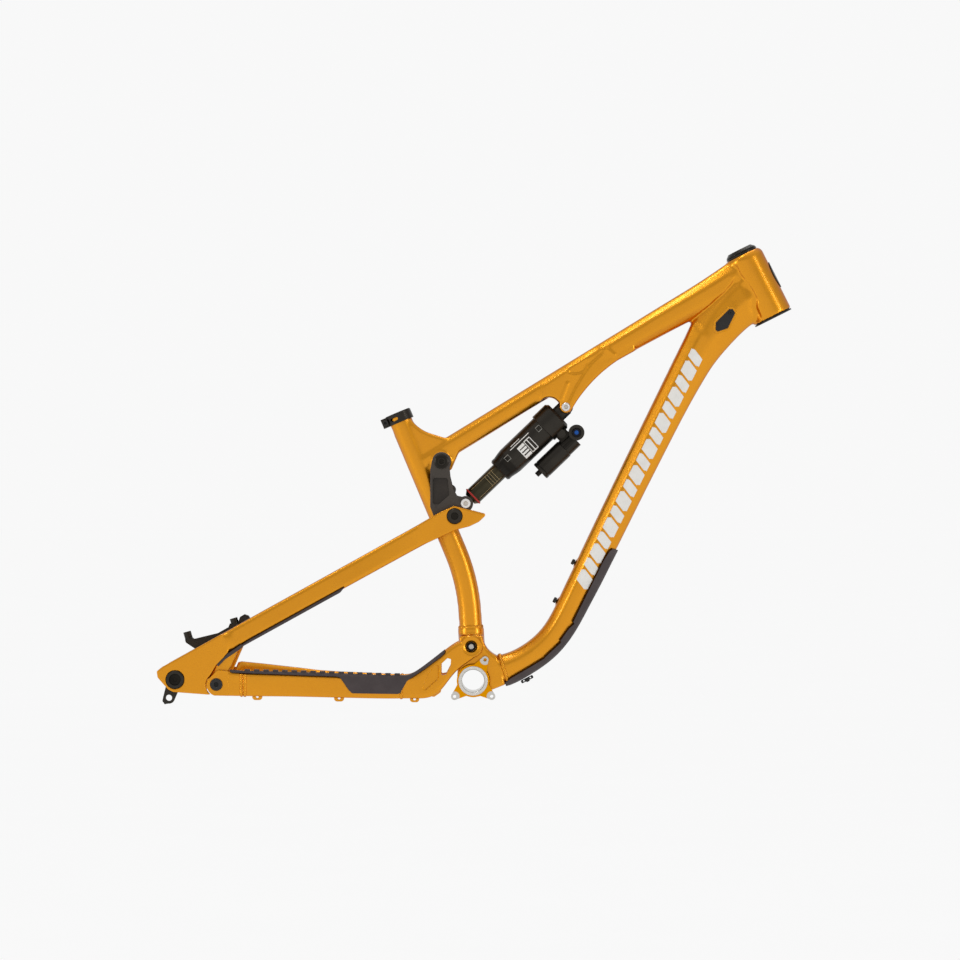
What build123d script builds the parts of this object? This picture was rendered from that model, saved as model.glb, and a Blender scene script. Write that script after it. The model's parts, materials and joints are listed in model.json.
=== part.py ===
from build123d import *
import os
from math import cos, hypot, radians, sin

# A full-suspension bicycle frame, in millimetres. The origin is the centre of the bottom-bracket
# shell, +X points forward, +Y to the non-drive side and +Z up. The drive side is at negative Y.

os.makedirs("parts", exist_ok=True)

# ---- pivots and axles, as (X, Z) in the side view ----
BB_CENTRE = (0, 0)
MAIN_PIVOT = (-2.8, 51.8)
STAY_PIVOT = (-384.0, -3.0)
REAR_AXLE = (-445.8, 4.3)
ROCKER_PIVOT = (-47.6, 330.7)
LINK_PIVOT = (-27.8, 248.5)
SHOCK_LOWER = (-11.2, 267.4)
SHOCK_UPPER = (140.1, 413.0)

# ---- bottom bracket, ISCG-05 chain-guide tabs ----
BB_OUTER_R = 22.0
BB_BORE_R = 16.85
BB_WIDTH = 73.0
TAB_HOLE_PCR = 36.5
TAB_ANGLES = (60.5, -39.7, -139.9)
TAB_HOLE_R = 2.5
TAB_TIP_R = 5.4

# ---- head tube, for a headset of 44 mm above and 56 mm below ----
HEAD_BASE = (454.05, 549.95)
HEAD_ANGLE = 116.6
HEAD_OUTER_R = 30.5
HEAD_LENGTH = 105.0
UPPER_CUP_R = 22.0
LOWER_CUP_R = 28.0
STEERER_UPPER_R = 14.4
STEERER_LOWER_R = 20.0

# ---- seat tube ----
SEAT_TUBE_ANGLE = 112.8
SEAT_TUBE_POINT = (-77.0, 314.2)
SEAT_TUBE_R = 17.45
SEAT_POST_R = 15.45
SEAT_TUBE_TOP = 95.5
SEAT_TUBE_BEND_AT = -129.3
SEAT_TUBE_BEND_R = 290.0
SEAT_TUBE_BEND = 19.3
SEAT_TUBE_TAIL = 24.0
CLAMP_BASE = 83.0
CLAMP_HEIGHT = 14.4
CLAMP_OUTER_R = 20.6

# ---- top tube and down tube ----
TOP_TUBE_ORIGIN = (-81.2, 324.7)
TOP_TUBE_ANGLE = 31.5
DOWN_TUBE_ORIGIN = (136.2, 90.8)
DOWN_TUBE_ANGLE = 63.5
DOWN_TUBE_BEND_R = 150.0
TUBE_WALL = 2.4
BOSS_SPACING = 64.0
GUARD_THICKNESS = 3.2

# ---- widths across the frame, from the middle plane ----
HOUSING_HALF = 24.0
YOKE_INNER = 24.5
YOKE_OUTER = 38.0
ROCKER_BOSS_HALF = 19.4
ROCKER_BOSS_R = 13.6
ROCKER_AXLE_R = 6.0
ROCKER_INNER = 20.0
ROCKER_OUTER = 28.0
STAY_FRONT_INNER = 28.6
STAY_FRONT_OUTER = 40.0
DROPOUT_INNER = 74.0
DROPOUT_OUTER = 84.0
SHOCK_EYE_HALF = 11.0
BRACKET_INNER = 12.8
BRACKET_OUTER = 21.8

# ---- rear end ----
STAY_ANGLE = 29.0
AXLE_R = 6.0

# ---- shock, 210 mm between the eyes and 50 mm of stroke ----
SHOCK_LENGTH = 210.0
SHOCK_BODY_R = 13.5
SHOCK_CAN_R = 22.0
SHOCK_COLLAR_R = 24.5
RESERVOIR_R = 14.6
RESERVOIR_OFFSET = 43.5
SLIDE_GAP = 0.3


# ------------------------------------------------------------------ helpers
def side(y=0):
    """The side view at this Y: X to the right, Z up, facing the drive side."""
    return Plane.XZ.offset(-y)


def across(centre):
    """A plane whose local y axis runs along +Y through a pivot, for pieces turned about it."""
    return Plane(origin=(centre[0], 0, centre[1]), x_dir=(1, 0, 0), z_dir=(0, 0, 1))


def line_frame(origin, angle):
    """Maps (distance along a line, height to its left) to the side view's (X, Z)."""
    along_x, along_z = cos(radians(angle)), sin(radians(angle))

    def place(along, up):
        return (
            origin[0] + along * along_x - up * along_z,
            origin[1] + along * along_z + up * along_x,
        )

    return place


def axis_plane(origin, angle):
    """The side-view plane with local y along a line at this angle, and local x to its right."""
    return Plane(
        origin=(origin[0], 0, origin[1]),
        x_dir=(sin(radians(angle)), 0, -cos(radians(angle))),
        z_dir=(0, -1, 0),
    )


def end_plane(origin, angle):
    """The cross-section plane of a line at this angle: local x to its right, local y along +Y."""
    return Plane(
        origin=(origin[0], 0, origin[1]),
        x_dir=(sin(radians(angle)), 0, -cos(radians(angle))),
        z_dir=(cos(radians(angle)), 0, sin(radians(angle))),
    )


def turned(plane, *profile, mode=Mode.ADD):
    """A round piece from (radius, along) points, turned about the plane's local y axis."""
    with BuildSketch(plane) as section:
        with BuildLine():
            Polyline(*profile, close=True)
        make_face()
    revolve(section.sketch, axis=Axis(plane.origin, plane.y_dir), mode=mode)


def slug(centre, radius, y_from, y_to, mode=Mode.ADD):
    """A round slug along Y."""
    turned(across(centre), (0, y_from), (radius, y_from), (radius, y_to), (0, y_to), mode=mode)


def plate(outline, y_from, y_to, mode=Mode.ADD):
    """A flat piece with a straight-sided outline in the side view."""
    with BuildSketch(side(y_to)) as section:
        with BuildLine():
            Polyline(*outline, close=True)
        make_face()
    extrude(section.sketch, amount=y_to - y_from, mode=mode)


def oval_section(low, high, half_width, middle, shape, corner):
    """A tube's cross-section between two points of the side view, from its corner fractions."""
    depth = hypot(high[0] - low[0], high[1] - low[1])
    up = ((high[0] - low[0]) / depth, (high[1] - low[1]) / depth)
    plane = Plane(
        origin=((low[0] + high[0]) / 2, middle, (low[1] + high[1]) / 2),
        x_dir=(0, 1, 0),
        z_dir=(up[1], 0, -up[0]),
    )
    right = [(x * half_width, y * depth / 2) for x, y in shape]
    left = [(-x, y) for x, y in reversed(right)]
    with BuildSketch(plane) as section:
        with BuildLine():
            Polyline(*right, *left, close=True)
        make_face()
        fillet(section.vertices(), corner)
    return section.sketch


def lofted(stations, shape, corner, wall=0, mode=Mode.ADD):
    """A tube through (low, high, half width, middle Y) stations, drawn in by a wall's thickness."""
    sections = []
    for low, high, half_width, middle in stations:
        depth = hypot(high[0] - low[0], high[1] - low[1])
        step = ((high[0] - low[0]) / depth * wall, (high[1] - low[1]) / depth * wall)
        inner_low = (low[0] + step[0], low[1] + step[1])
        inner_high = (high[0] - step[0], high[1] - step[1])
        sections.append(
            oval_section(inner_low, inner_high, half_width - wall, middle, shape, corner - wall)
        )
    loft(sections, mode=mode)


def keep_largest(builder):
    """Drops the offcuts that a cut leaves beyond a tube's neighbour."""
    largest = builder.part.solids().sort_by(SortBy.VOLUME)[-1]
    add(largest, mode=Mode.REPLACE)


def finish_part(builder, name):
    """Labels a finished sub-part and writes it."""
    builder.part.label = name
    export_step(builder.part, f"parts/{name}.step")


# ------------------------------------------------------------------ head tube and headset
HEAD = axis_plane(HEAD_BASE, HEAD_ANGLE)
SHOULDER = 12.0

with BuildPart() as head_tube_envelope:
    with BuildSketch(HEAD):
        with BuildLine():
            Polyline(
                (HEAD_OUTER_R, HEAD_LENGTH - SHOULDER),
                (HEAD_OUTER_R, 0),
                (0, 0),
                (0, HEAD_LENGTH),
                (HEAD_OUTER_R - SHOULDER * 0.45, HEAD_LENGTH),
            )
            ThreePointArc(
                (HEAD_OUTER_R - SHOULDER * 0.45, HEAD_LENGTH),
                (HEAD_OUTER_R - SHOULDER * 0.08, HEAD_LENGTH - SHOULDER * 0.42),
                (HEAD_OUTER_R, HEAD_LENGTH - SHOULDER),
            )
        make_face()
    revolve(axis=Axis(HEAD.origin, HEAD.y_dir))

CUP_DEPTH = 12.0
with BuildPart() as head_tube:
    add(head_tube_envelope.part)
    turned(
        HEAD,
        (0, -1),
        (LOWER_CUP_R, -1),
        (LOWER_CUP_R, 25),
        (UPPER_CUP_R, 55),
        (UPPER_CUP_R, HEAD_LENGTH + 1),
        (0, HEAD_LENGTH + 1),
        mode=Mode.SUBTRACT,
    )
finish_part(head_tube, "head_tube")

LOWER_BEARING_R = 26.0
with BuildPart() as headset_lower_cup:
    turned(
        HEAD,
        (STEERER_LOWER_R + 3.5, -2.4),
        (HEAD_OUTER_R - 0.1, -2.4),
        (HEAD_OUTER_R - 0.1, 0),
        (LOWER_CUP_R, 0),
        (LOWER_CUP_R, CUP_DEPTH),
        (LOWER_BEARING_R - 3, CUP_DEPTH),
        (LOWER_BEARING_R - 3, 8),
        (LOWER_BEARING_R, 8),
        (LOWER_BEARING_R, 0.4),
        (STEERER_LOWER_R + 4.5, 0.4),
    )
finish_part(headset_lower_cup, "headset_lower_cup")

UPPER_BEARING_R = 20.5
UPPER_FLANGE_R = 24.75
with BuildPart() as headset_upper_cup:
    turned(
        HEAD,
        (UPPER_BEARING_R, HEAD_LENGTH - 5),
        (UPPER_BEARING_R - 2.5, HEAD_LENGTH - 5),
        (UPPER_BEARING_R - 2.5, HEAD_LENGTH - CUP_DEPTH),
        (UPPER_CUP_R, HEAD_LENGTH - CUP_DEPTH),
        (UPPER_CUP_R, HEAD_LENGTH),
        (UPPER_FLANGE_R, HEAD_LENGTH),
        (UPPER_FLANGE_R, HEAD_LENGTH + 2.2),
        (UPPER_BEARING_R, HEAD_LENGTH + 2.2),
    )
finish_part(headset_upper_cup, "headset_upper_cup")

with BuildPart() as headset_bearings:
    turned(
        HEAD,
        (STEERER_LOWER_R, 1.0),
        (LOWER_BEARING_R - 1.2, 1.0),
        (LOWER_BEARING_R, 2.2),
        (LOWER_BEARING_R, 8),
        (STEERER_LOWER_R, 8),
    )
    turned(
        HEAD,
        (STEERER_UPPER_R + 1.6, HEAD_LENGTH - 5),
        (UPPER_BEARING_R, HEAD_LENGTH - 5),
        (UPPER_BEARING_R, HEAD_LENGTH + 1.6),
        (STEERER_UPPER_R + 3.6, HEAD_LENGTH + 1.6),
        (STEERER_UPPER_R + 1.6, HEAD_LENGTH - 0.4),
    )
finish_part(headset_bearings, "headset_bearings")

with BuildPart() as headset_top_cover:
    turned(
        HEAD,
        (STEERER_UPPER_R, HEAD_LENGTH + 2.0),
        (UPPER_BEARING_R - 1, HEAD_LENGTH + 2.0),
        (UPPER_BEARING_R - 1, HEAD_LENGTH + 2.5),
        (UPPER_FLANGE_R - 0.4, HEAD_LENGTH + 2.5),
        (UPPER_FLANGE_R - 1.0, HEAD_LENGTH + 4.2),
        (STEERER_UPPER_R + 4.4, HEAD_LENGTH + 8.6),
        (STEERER_UPPER_R, HEAD_LENGTH + 8.6),
    )
    rims = headset_top_cover.edges().filter_by(GeomType.CIRCLE)
    fillet(rims.sort_by(SortBy.RADIUS)[-2:], 0.4)
finish_part(headset_top_cover, "headset_top_cover")

with BuildPart() as compression_ring:
    turned(
        HEAD,
        (STEERER_UPPER_R, HEAD_LENGTH - 3.6),
        (STEERER_UPPER_R + 1.5, HEAD_LENGTH - 3.6),
        (STEERER_UPPER_R + 1.5, HEAD_LENGTH - 0.3),
        (STEERER_UPPER_R + 3.4, HEAD_LENGTH + 1.8),
        (STEERER_UPPER_R, HEAD_LENGTH + 1.8),
    )
finish_part(compression_ring, "headset_compression_ring")

BADGE_LENGTH = 42.0
BADGE_WIDTH = 25.0
BADGE_MIDDLE = 56.0
with BuildPart() as head_badge:
    badge_centre = Plane(
        origin=HEAD.from_local_coords((0, BADGE_MIDDLE, 0)),
        x_dir=(0, 1, 0),
        z_dir=HEAD.x_dir,
    )
    with BuildSketch(badge_centre):
        Ellipse(BADGE_WIDTH / 2, BADGE_LENGTH / 2)
    extrude(amount=HEAD_OUTER_R + 5)
    turned(
        HEAD,
        (HEAD_OUTER_R, 0),
        (HEAD_OUTER_R + 1.4, 0),
        (HEAD_OUTER_R + 1.4, HEAD_LENGTH),
        (HEAD_OUTER_R, HEAD_LENGTH),
        mode=Mode.INTERSECT,
    )
finish_part(head_badge, "head_badge")

# ------------------------------------------------------------------ seat tube and clamp
seat_axis = line_frame(SEAT_TUBE_POINT, SEAT_TUBE_ANGLE)
SEAT_TOP = seat_axis(SEAT_TUBE_TOP, 0)
SEAT_BEND = seat_axis(SEAT_TUBE_BEND_AT, 0)

with BuildLine(Plane.XZ) as seat_tube_path:
    straight = Line(SEAT_TOP, SEAT_BEND)
    bend = JernArc(SEAT_BEND, (SEAT_BEND[0] - SEAT_TOP[0], SEAT_BEND[1] - SEAT_TOP[1]),
                   SEAT_TUBE_BEND_R, -SEAT_TUBE_BEND)
    tail = Line(bend @ 1, (bend @ 1) + (bend % 1) * SEAT_TUBE_TAIL)

with BuildPart() as seat_tube_envelope:
    with BuildSketch(end_plane(SEAT_TOP, SEAT_TUBE_ANGLE)):
        Circle(SEAT_TUBE_R)
    sweep(path=seat_tube_path.wire())

CLAMP_PLANE = end_plane(seat_axis(CLAMP_BASE, 0), SEAT_TUBE_ANGLE)
SLOT_LENGTH = 26.0
with BuildPart() as seat_tube:
    with BuildSketch(end_plane(SEAT_TOP, SEAT_TUBE_ANGLE)):
        Circle(SEAT_TUBE_R)
        Circle(SEAT_POST_R, mode=Mode.SUBTRACT)
    sweep(path=seat_tube_path.wire())
    with BuildSketch(end_plane(SEAT_TOP, SEAT_TUBE_ANGLE)):
        with Locations((-SEAT_TUBE_R, 0)):
            Rectangle(8, 2)
    extrude(amount=-SLOT_LENGTH, mode=Mode.SUBTRACT)
finish_part(seat_tube, "seat_tube")

LUG_X = -22.6
with BuildPart() as seat_clamp:
    with BuildSketch(CLAMP_PLANE):
        Circle(CLAMP_OUTER_R)
        with Locations((LUG_X + 1.6, 0)):
            RectangleRounded(13.5, 19, 3)
        Circle(SEAT_TUBE_R, mode=Mode.SUBTRACT)
        with Locations((LUG_X, 0)):
            Rectangle(14, 1.8, mode=Mode.SUBTRACT)
    extrude(amount=CLAMP_HEIGHT)
    with BuildSketch(CLAMP_PLANE.offset(CLAMP_HEIGHT)):
        Circle(CLAMP_OUTER_R - 1.2)
        Circle(SEAT_TUBE_R - 0.8, mode=Mode.SUBTRACT)
    extrude(amount=0.9)
    with BuildSketch(side(0)):
        with Locations(seat_axis(CLAMP_BASE + CLAMP_HEIGHT / 2, 8.0)):
            SlotOverall(12, 5, rotation=SEAT_TUBE_ANGLE - 90)
    extrude(amount=30, both=True, mode=Mode.SUBTRACT)
    slug(seat_axis(CLAMP_BASE + CLAMP_HEIGHT / 2, -LUG_X), 2.6, -12, 12, mode=Mode.SUBTRACT)
finish_part(seat_clamp, "seat_clamp")

CLAMP_BOLT = seat_axis(CLAMP_BASE + CLAMP_HEIGHT / 2, -LUG_X)
with BuildPart() as clamp_bolt:
    slug(CLAMP_BOLT, 2.4, -9.5, 8)
    slug(CLAMP_BOLT, 4.2, -12.6, -9.5)
    with BuildSketch(side(-12.6)):
        with Locations(CLAMP_BOLT):
            RegularPolygon(2.3, 6)
    extrude(amount=-2, mode=Mode.SUBTRACT)
    turned(across(CLAMP_BOLT), (0, 8), (2.4, 8), (2.4, 9.5), (3.9, 9.5), (3.9, 12.2), (0, 12.2))
finish_part(clamp_bolt, "seat_clamp_bolt")

# ------------------------------------------------------------------ top tube
# Stations: distance along, depth below and above the axis, half width.
top_axis = line_frame(TOP_TUBE_ORIGIN, TOP_TUBE_ANGLE)
TOP_TUBE_SHAPE = ((0.6, 1), (1, 0.45), (1, -0.4), (0.6, -1))
TOP_TUBE_CORNER = 7.5
TOP_TUBE_STATIONS = (
    (0, 14.7, 15.1, 16.2),
    (64, 14.7, 15.1, 17.0),
    (130, 14.7, 15.1, 18.5),
    (215, 14.7, 15.1, 20.0),
    (280, 16.8, 15.1, 21.2),
    (345, 20.3, 15.1, 22.5),
    (400, 23.4, 15.1, 23.4),
    (450, 26.6, 15.1, 24.0),
    (505, 31.5, 15.3, 24.5),
    (545, 36.0, 17.0, 24.8),
    (582, 40.0, 17.5, 25.0),
)
top_tube_lofts = [
    (top_axis(along, -below), top_axis(along, above), half_width, 0)
    for along, below, above, half_width in TOP_TUBE_STATIONS
]
with BuildPart() as top_tube_envelope:
    lofted(top_tube_lofts, TOP_TUBE_SHAPE, TOP_TUBE_CORNER)

# ------------------------------------------------------------------ down tube
# The lower bend's stations: degrees from the vertical, inner and outer radius, half width.
down_axis = line_frame(DOWN_TUBE_ORIGIN, DOWN_TUBE_ANGLE)
DOWN_TUBE_SHAPE = ((0.58, 1), (1, 0.4), (1, -0.2), (0.55, -1))
DOWN_TUBE_CORNER = 10.0
BEND_CENTRE = down_axis(0, DOWN_TUBE_BEND_R)
BEND_STATIONS = (
    (16, 125.5, 170.5, HOUSING_HALF),
    (28, 127.5, 168.8, 24.6),
    (40, 128.6, 169.0, 25.4),
    (52, 129.6, 170.2, 26.2),
)
STRAIGHT_STATIONS = (
    (0, 21.6, 20.0, 27.0),
    (58, 23.4, 20.9, 27.6),
    (120, 24.0, 22.2, 28.0),
    (182, 24.1, 23.3, 28.0),
    (244, 24.1, 24.2, 28.0),
    (306, 24.6, 24.8, 28.0),
    (360, 25.4, 25.2, 28.0),
    (405, 27.4, 25.5, 28.2),
    (440, 30.3, 25.8, 28.4),
    (476, 37.7, 26.2, 28.6),
)
# Over the head tube the stations turn from the down tube's axis to the head tube's.
HEAD_STATIONS = (
    (505, -46.4, 503, 26.6, 28.6),
    (526, -55.0, 536, 23.5, 28.2),
    (542, -64.5, 574, 14.0, 27.6),
    (557, -73.6, 610, 2.0, 27.0),
)


def bend_point(angle, radius):
    """A point of the down tube's lower bend, this many degrees past straight down."""
    return (
        BEND_CENTRE[0] + radius * sin(radians(angle)),
        BEND_CENTRE[1] - radius * cos(radians(angle)),
    )


down_tube_lofts = [
    (bend_point(angle, outer), bend_point(angle, inner), half_width, 0)
    for angle, inner, outer, half_width in BEND_STATIONS
]
down_tube_lofts += [
    (down_axis(along, -below), down_axis(along, above), half_width, 0)
    for along, below, above, half_width in STRAIGHT_STATIONS
]
down_tube_lofts += [
    (down_axis(low_at, low_up), down_axis(high_at, high_up), half_width, 0)
    for low_at, low_up, high_at, high_up, half_width in HEAD_STATIONS
]
with BuildPart() as down_tube_envelope:
    lofted(down_tube_lofts, DOWN_TUBE_SHAPE, DOWN_TUBE_CORNER)

FIRST_BOSS = 21.5
BOSS_ALONG = (FIRST_BOSS, FIRST_BOSS + BOSS_SPACING)
BOSS_HEIGHT = 2.2
BOSS_R = 5.2
BOTTLE_BOLT_R = 2.5
BOSS_DEPTH = 12.0
boss_skin = {along: 20.4 + (along - FIRST_BOSS) * 0.016 for along in BOSS_ALONG}

with BuildPart() as down_tube:
    add(down_tube_envelope.part)
    lofted(down_tube_lofts, DOWN_TUBE_SHAPE, DOWN_TUBE_CORNER, TUBE_WALL, Mode.SUBTRACT)
    add(head_tube_envelope.part, mode=Mode.SUBTRACT)
    for along, skin in boss_skin.items():
        hole_plane = axis_plane(down_axis(along, skin), DOWN_TUBE_ANGLE + 90)
        turned(
            hole_plane, (0, -BOSS_DEPTH), (BOSS_R, -BOSS_DEPTH), (BOSS_R, 6), (0, 6), mode=Mode.SUBTRACT
        )
finish_part(down_tube, "down_tube")

with BuildPart() as top_tube:
    add(top_tube_envelope.part)
    lofted(top_tube_lofts, TOP_TUBE_SHAPE, TOP_TUBE_CORNER, TUBE_WALL, Mode.SUBTRACT)
    add(head_tube_envelope.part, mode=Mode.SUBTRACT)
    add(down_tube_envelope.part, mode=Mode.SUBTRACT)
    add(seat_tube_envelope.part, mode=Mode.SUBTRACT)
    slug(ROCKER_PIVOT, ROCKER_BOSS_R, -ROCKER_BOSS_HALF, ROCKER_BOSS_HALF, mode=Mode.SUBTRACT)
    keep_largest(top_tube)
finish_part(top_tube, "top_tube")

# ------------------------------------------------------------------ bottom bracket and main pivot
BEARING_OUTER_R = 14.0
BEARING_WIDTH = 7.0
PIVOT_AXLE_R = 6.0
RUNNING_FIT = 0.05
SEAT_STUB_R = 19.6
SHELL_WRAP_R = 24.8
HOUSING_EDGE = 4.0
DOWN_TUBE_END = 16
TAIL_ANGLE = SEAT_TUBE_ANGLE - SEAT_TUBE_BEND
TAIL_END = ((tail @ 1).X, (tail @ 1).Z)
joint_high = bend_point(DOWN_TUBE_END, 125.5)
joint_low = bend_point(DOWN_TUBE_END, 170.5)

with BuildPart() as pivot_housing:
    with BuildSketch(side(HOUSING_HALF)):
        with BuildLine():
            Polyline(
                (-21.5, -12.4), (-24.2, 3), (-22.8, 26), (-20.6, 68), (15.4, 68), (15.4, 62)
            )
            ThreePointArc((15.4, 62), (21.6, 48.4), joint_high)
            Polyline(joint_high, joint_low, (24, -16))
            ThreePointArc((24, -16), (0, -SHELL_WRAP_R), (-21.5, -12.4))
        make_face()
    extrude(amount=2 * HOUSING_HALF)
    fillet(pivot_housing.faces().sort_by(Axis.Y)[0].edges(), HOUSING_EDGE)
    fillet(pivot_housing.faces().sort_by(Axis.Y)[-1].edges(), HOUSING_EDGE)
    with BuildSketch(end_plane(TAIL_END, TAIL_ANGLE).offset(3)):
        Circle(SEAT_STUB_R)
    extrude(amount=-26)
    slug(MAIN_PIVOT, 17.6, -HOUSING_HALF, HOUSING_HALF)
    add(seat_tube_envelope.part, mode=Mode.SUBTRACT)
    plate(((25, 2), (43, 0), (35, 33), (24, 34)), -17, 17, mode=Mode.SUBTRACT)
    slug(BB_CENTRE, BB_OUTER_R, -40, 40, mode=Mode.SUBTRACT)
    slug(MAIN_PIVOT, 10, -30, 30, mode=Mode.SUBTRACT)
    for y_from in (-30, HOUSING_HALF - BEARING_WIDTH - 0.3):
        slug(MAIN_PIVOT, BEARING_OUTER_R, y_from, y_from + BEARING_WIDTH + 6.3, mode=Mode.SUBTRACT)
finish_part(pivot_housing, "pivot_housing")

SHELL_CHAMFER = 1.0
with BuildPart() as bb_shell:
    turned(
        across(BB_CENTRE),
        (BB_BORE_R + SHELL_CHAMFER, -BB_WIDTH / 2),
        (BB_OUTER_R, -BB_WIDTH / 2),
        (BB_OUTER_R, BB_WIDTH / 2),
        (BB_BORE_R + SHELL_CHAMFER, BB_WIDTH / 2),
        (BB_BORE_R, BB_WIDTH / 2 - SHELL_CHAMFER),
        (BB_BORE_R, -BB_WIDTH / 2 + SHELL_CHAMFER),
    )
finish_part(bb_shell, "bb_shell")

TAB_THICKNESS = 5.0
TAB_FACE_Y = -34.0
with BuildPart() as chain_guide_tabs:
    with BuildSketch(side(TAB_FACE_Y + TAB_THICKNESS)) as tab_sketch:
        Circle(BB_OUTER_R + 2.6)
        for angle in TAB_ANGLES:
            with BuildLine():
                Polyline(
                    *(
                        (
                            radius * cos(radians(angle)) - across_tab * sin(radians(angle)),
                            radius * sin(radians(angle)) + across_tab * cos(radians(angle)),
                        )
                        for radius, across_tab in (
                            (18, 12.5),
                            (TAB_HOLE_PCR, TAB_TIP_R),
                            (TAB_HOLE_PCR, -TAB_TIP_R),
                            (18, -12.5),
                        )
                    ),
                    close=True,
                )
            make_face()
            with PolarLocations(TAB_HOLE_PCR, 1, start_angle=angle):
                Circle(TAB_TIP_R)
        Circle(BB_OUTER_R, mode=Mode.SUBTRACT)
        for angle in TAB_ANGLES:
            with PolarLocations(TAB_HOLE_PCR, 1, start_angle=angle):
                Circle(TAB_HOLE_R, mode=Mode.SUBTRACT)
    extrude(tab_sketch.sketch, amount=TAB_THICKNESS)
finish_part(chain_guide_tabs, "chain_guide_tabs")

with BuildPart() as main_pivot_bearings:
    for y_from in (-HOUSING_HALF + 0.3, HOUSING_HALF - BEARING_WIDTH - 0.3):
        turned(
            across(MAIN_PIVOT),
            (PIVOT_AXLE_R + RUNNING_FIT, y_from),
            (BEARING_OUTER_R, y_from),
            (BEARING_OUTER_R, y_from + BEARING_WIDTH),
            (PIVOT_AXLE_R + RUNNING_FIT, y_from + BEARING_WIDTH),
        )
finish_part(main_pivot_bearings, "main_pivot_bearings")

# ------------------------------------------------------------------ seat-tube gusset, rocker boss
GUSSET_HALF = 14.5
GUSSET_BEVEL = 2.8
with BuildPart() as seat_tube_gusset:
    with BuildSketch(side(GUSSET_HALF)):
        with BuildLine():
            ThreePointArc((-95.5, 397), (-82.6, 383), (-63, 373))
            Polyline(
                (-63, 373),
                top_axis(58, 12),
                top_axis(70, -8),
                (-33, 318),
                (-58, 311),
                (-74, 292),
                (-100, 360),
                (-95.5, 397),
            )
        make_face()
    extrude(amount=2 * GUSSET_HALF)
    chamfer(seat_tube_gusset.faces().sort_by(Axis.Y)[0].edges(), GUSSET_BEVEL)
    chamfer(seat_tube_gusset.faces().sort_by(Axis.Y)[-1].edges(), GUSSET_BEVEL)
    add(top_tube_envelope.part, mode=Mode.SUBTRACT)
    slug(ROCKER_PIVOT, ROCKER_BOSS_R, -ROCKER_BOSS_HALF, ROCKER_BOSS_HALF)
    add(seat_tube_envelope.part, mode=Mode.SUBTRACT)
    add(seat_clamp.part, mode=Mode.SUBTRACT)
    slug(ROCKER_PIVOT, ROCKER_AXLE_R, -30, 30, mode=Mode.SUBTRACT)
finish_part(seat_tube_gusset, "seat_tube_gusset")

# ------------------------------------------------------------------ shock bracket under the top tube
BRACKET_EYE_R = 9.7
SHOCK_BOLT_R = 4.0
with BuildPart() as shock_bracket:
    with BuildSketch(side(BRACKET_OUTER)):
        with BuildLine():
            ThreePointArc((100, 419), (117, 427.8), (131.2, 417))
            Polyline((131.2, 417), SHOCK_UPPER, (148.6, 408.6), (157.2, 422.5))
            ThreePointArc((157.2, 422.5), (181, 452), (219, 484))
            Polyline(
                (219, 484), (246, 499), top_axis(374, 2), top_axis(300, 8), top_axis(222, 6), (100, 419)
            )
        make_face()
        with Locations(SHOCK_UPPER):
            Circle(BRACKET_EYE_R)
    extrude(amount=2 * BRACKET_OUTER)
    with BuildSketch(side(BRACKET_INNER)):
        with BuildLine():
            Polyline(
                (90, 380),
                (98, 424),
                (128, 436),
                (154, 436),
                (186, 464),
                (222, 492),
                (260, 480),
                (160, 380),
                close=True,
            )
        make_face()
    extrude(amount=2 * BRACKET_INNER, mode=Mode.SUBTRACT)
    fillet(shock_bracket.faces().sort_by(Axis.Y)[0].edges(), 2.5)
    fillet(shock_bracket.faces().sort_by(Axis.Y)[-1].edges(), 2.5)
    add(top_tube_envelope.part, mode=Mode.SUBTRACT)
    with BuildSketch(side(BRACKET_OUTER)):
        with Locations(top_axis(288, 2.5)):
            SlotOverall(40, 7, rotation=TOP_TUBE_ANGLE)
    extrude(amount=2 * BRACKET_OUTER, mode=Mode.SUBTRACT)
    slug(SHOCK_UPPER, SHOCK_BOLT_R, -30, 30, mode=Mode.SUBTRACT)
    keep_largest(shock_bracket)
finish_part(shock_bracket, "shock_bracket")

# ------------------------------------------------------------------ bottle bosses on the down tube
with BuildPart() as bottle_bosses:
    for along, skin in boss_skin.items():
        boss_plane = axis_plane(down_axis(along, skin), DOWN_TUBE_ANGLE + 90)
        turned(
            boss_plane,
            (BOTTLE_BOLT_R, -BOSS_DEPTH),
            (BOSS_R, -BOSS_DEPTH),
            (BOSS_R, BOSS_HEIGHT - 0.6),
            (4.4, BOSS_HEIGHT),
            (BOTTLE_BOLT_R, BOSS_HEIGHT),
        )
finish_part(bottle_bosses, "bottle_bosses")

with BuildPart() as bottle_bolts:
    for along, skin in boss_skin.items():
        bolt_plane = axis_plane(down_axis(along, skin + BOSS_HEIGHT), DOWN_TUBE_ANGLE + 90)
        turned(
            bolt_plane,
            (0, -BOSS_DEPTH + 2),
            (BOTTLE_BOLT_R - 0.05, -BOSS_DEPTH + 2),
            (BOTTLE_BOLT_R - 0.05, 0),
            (4.4, 0),
            (4.4, 3.2),
            (3.7, 4.4),
            (1.7, 4.4),
            (1.7, 1.8),
            (0, 1.8),
        )
finish_part(bottle_bolts, "bottle_bolts")

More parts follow.
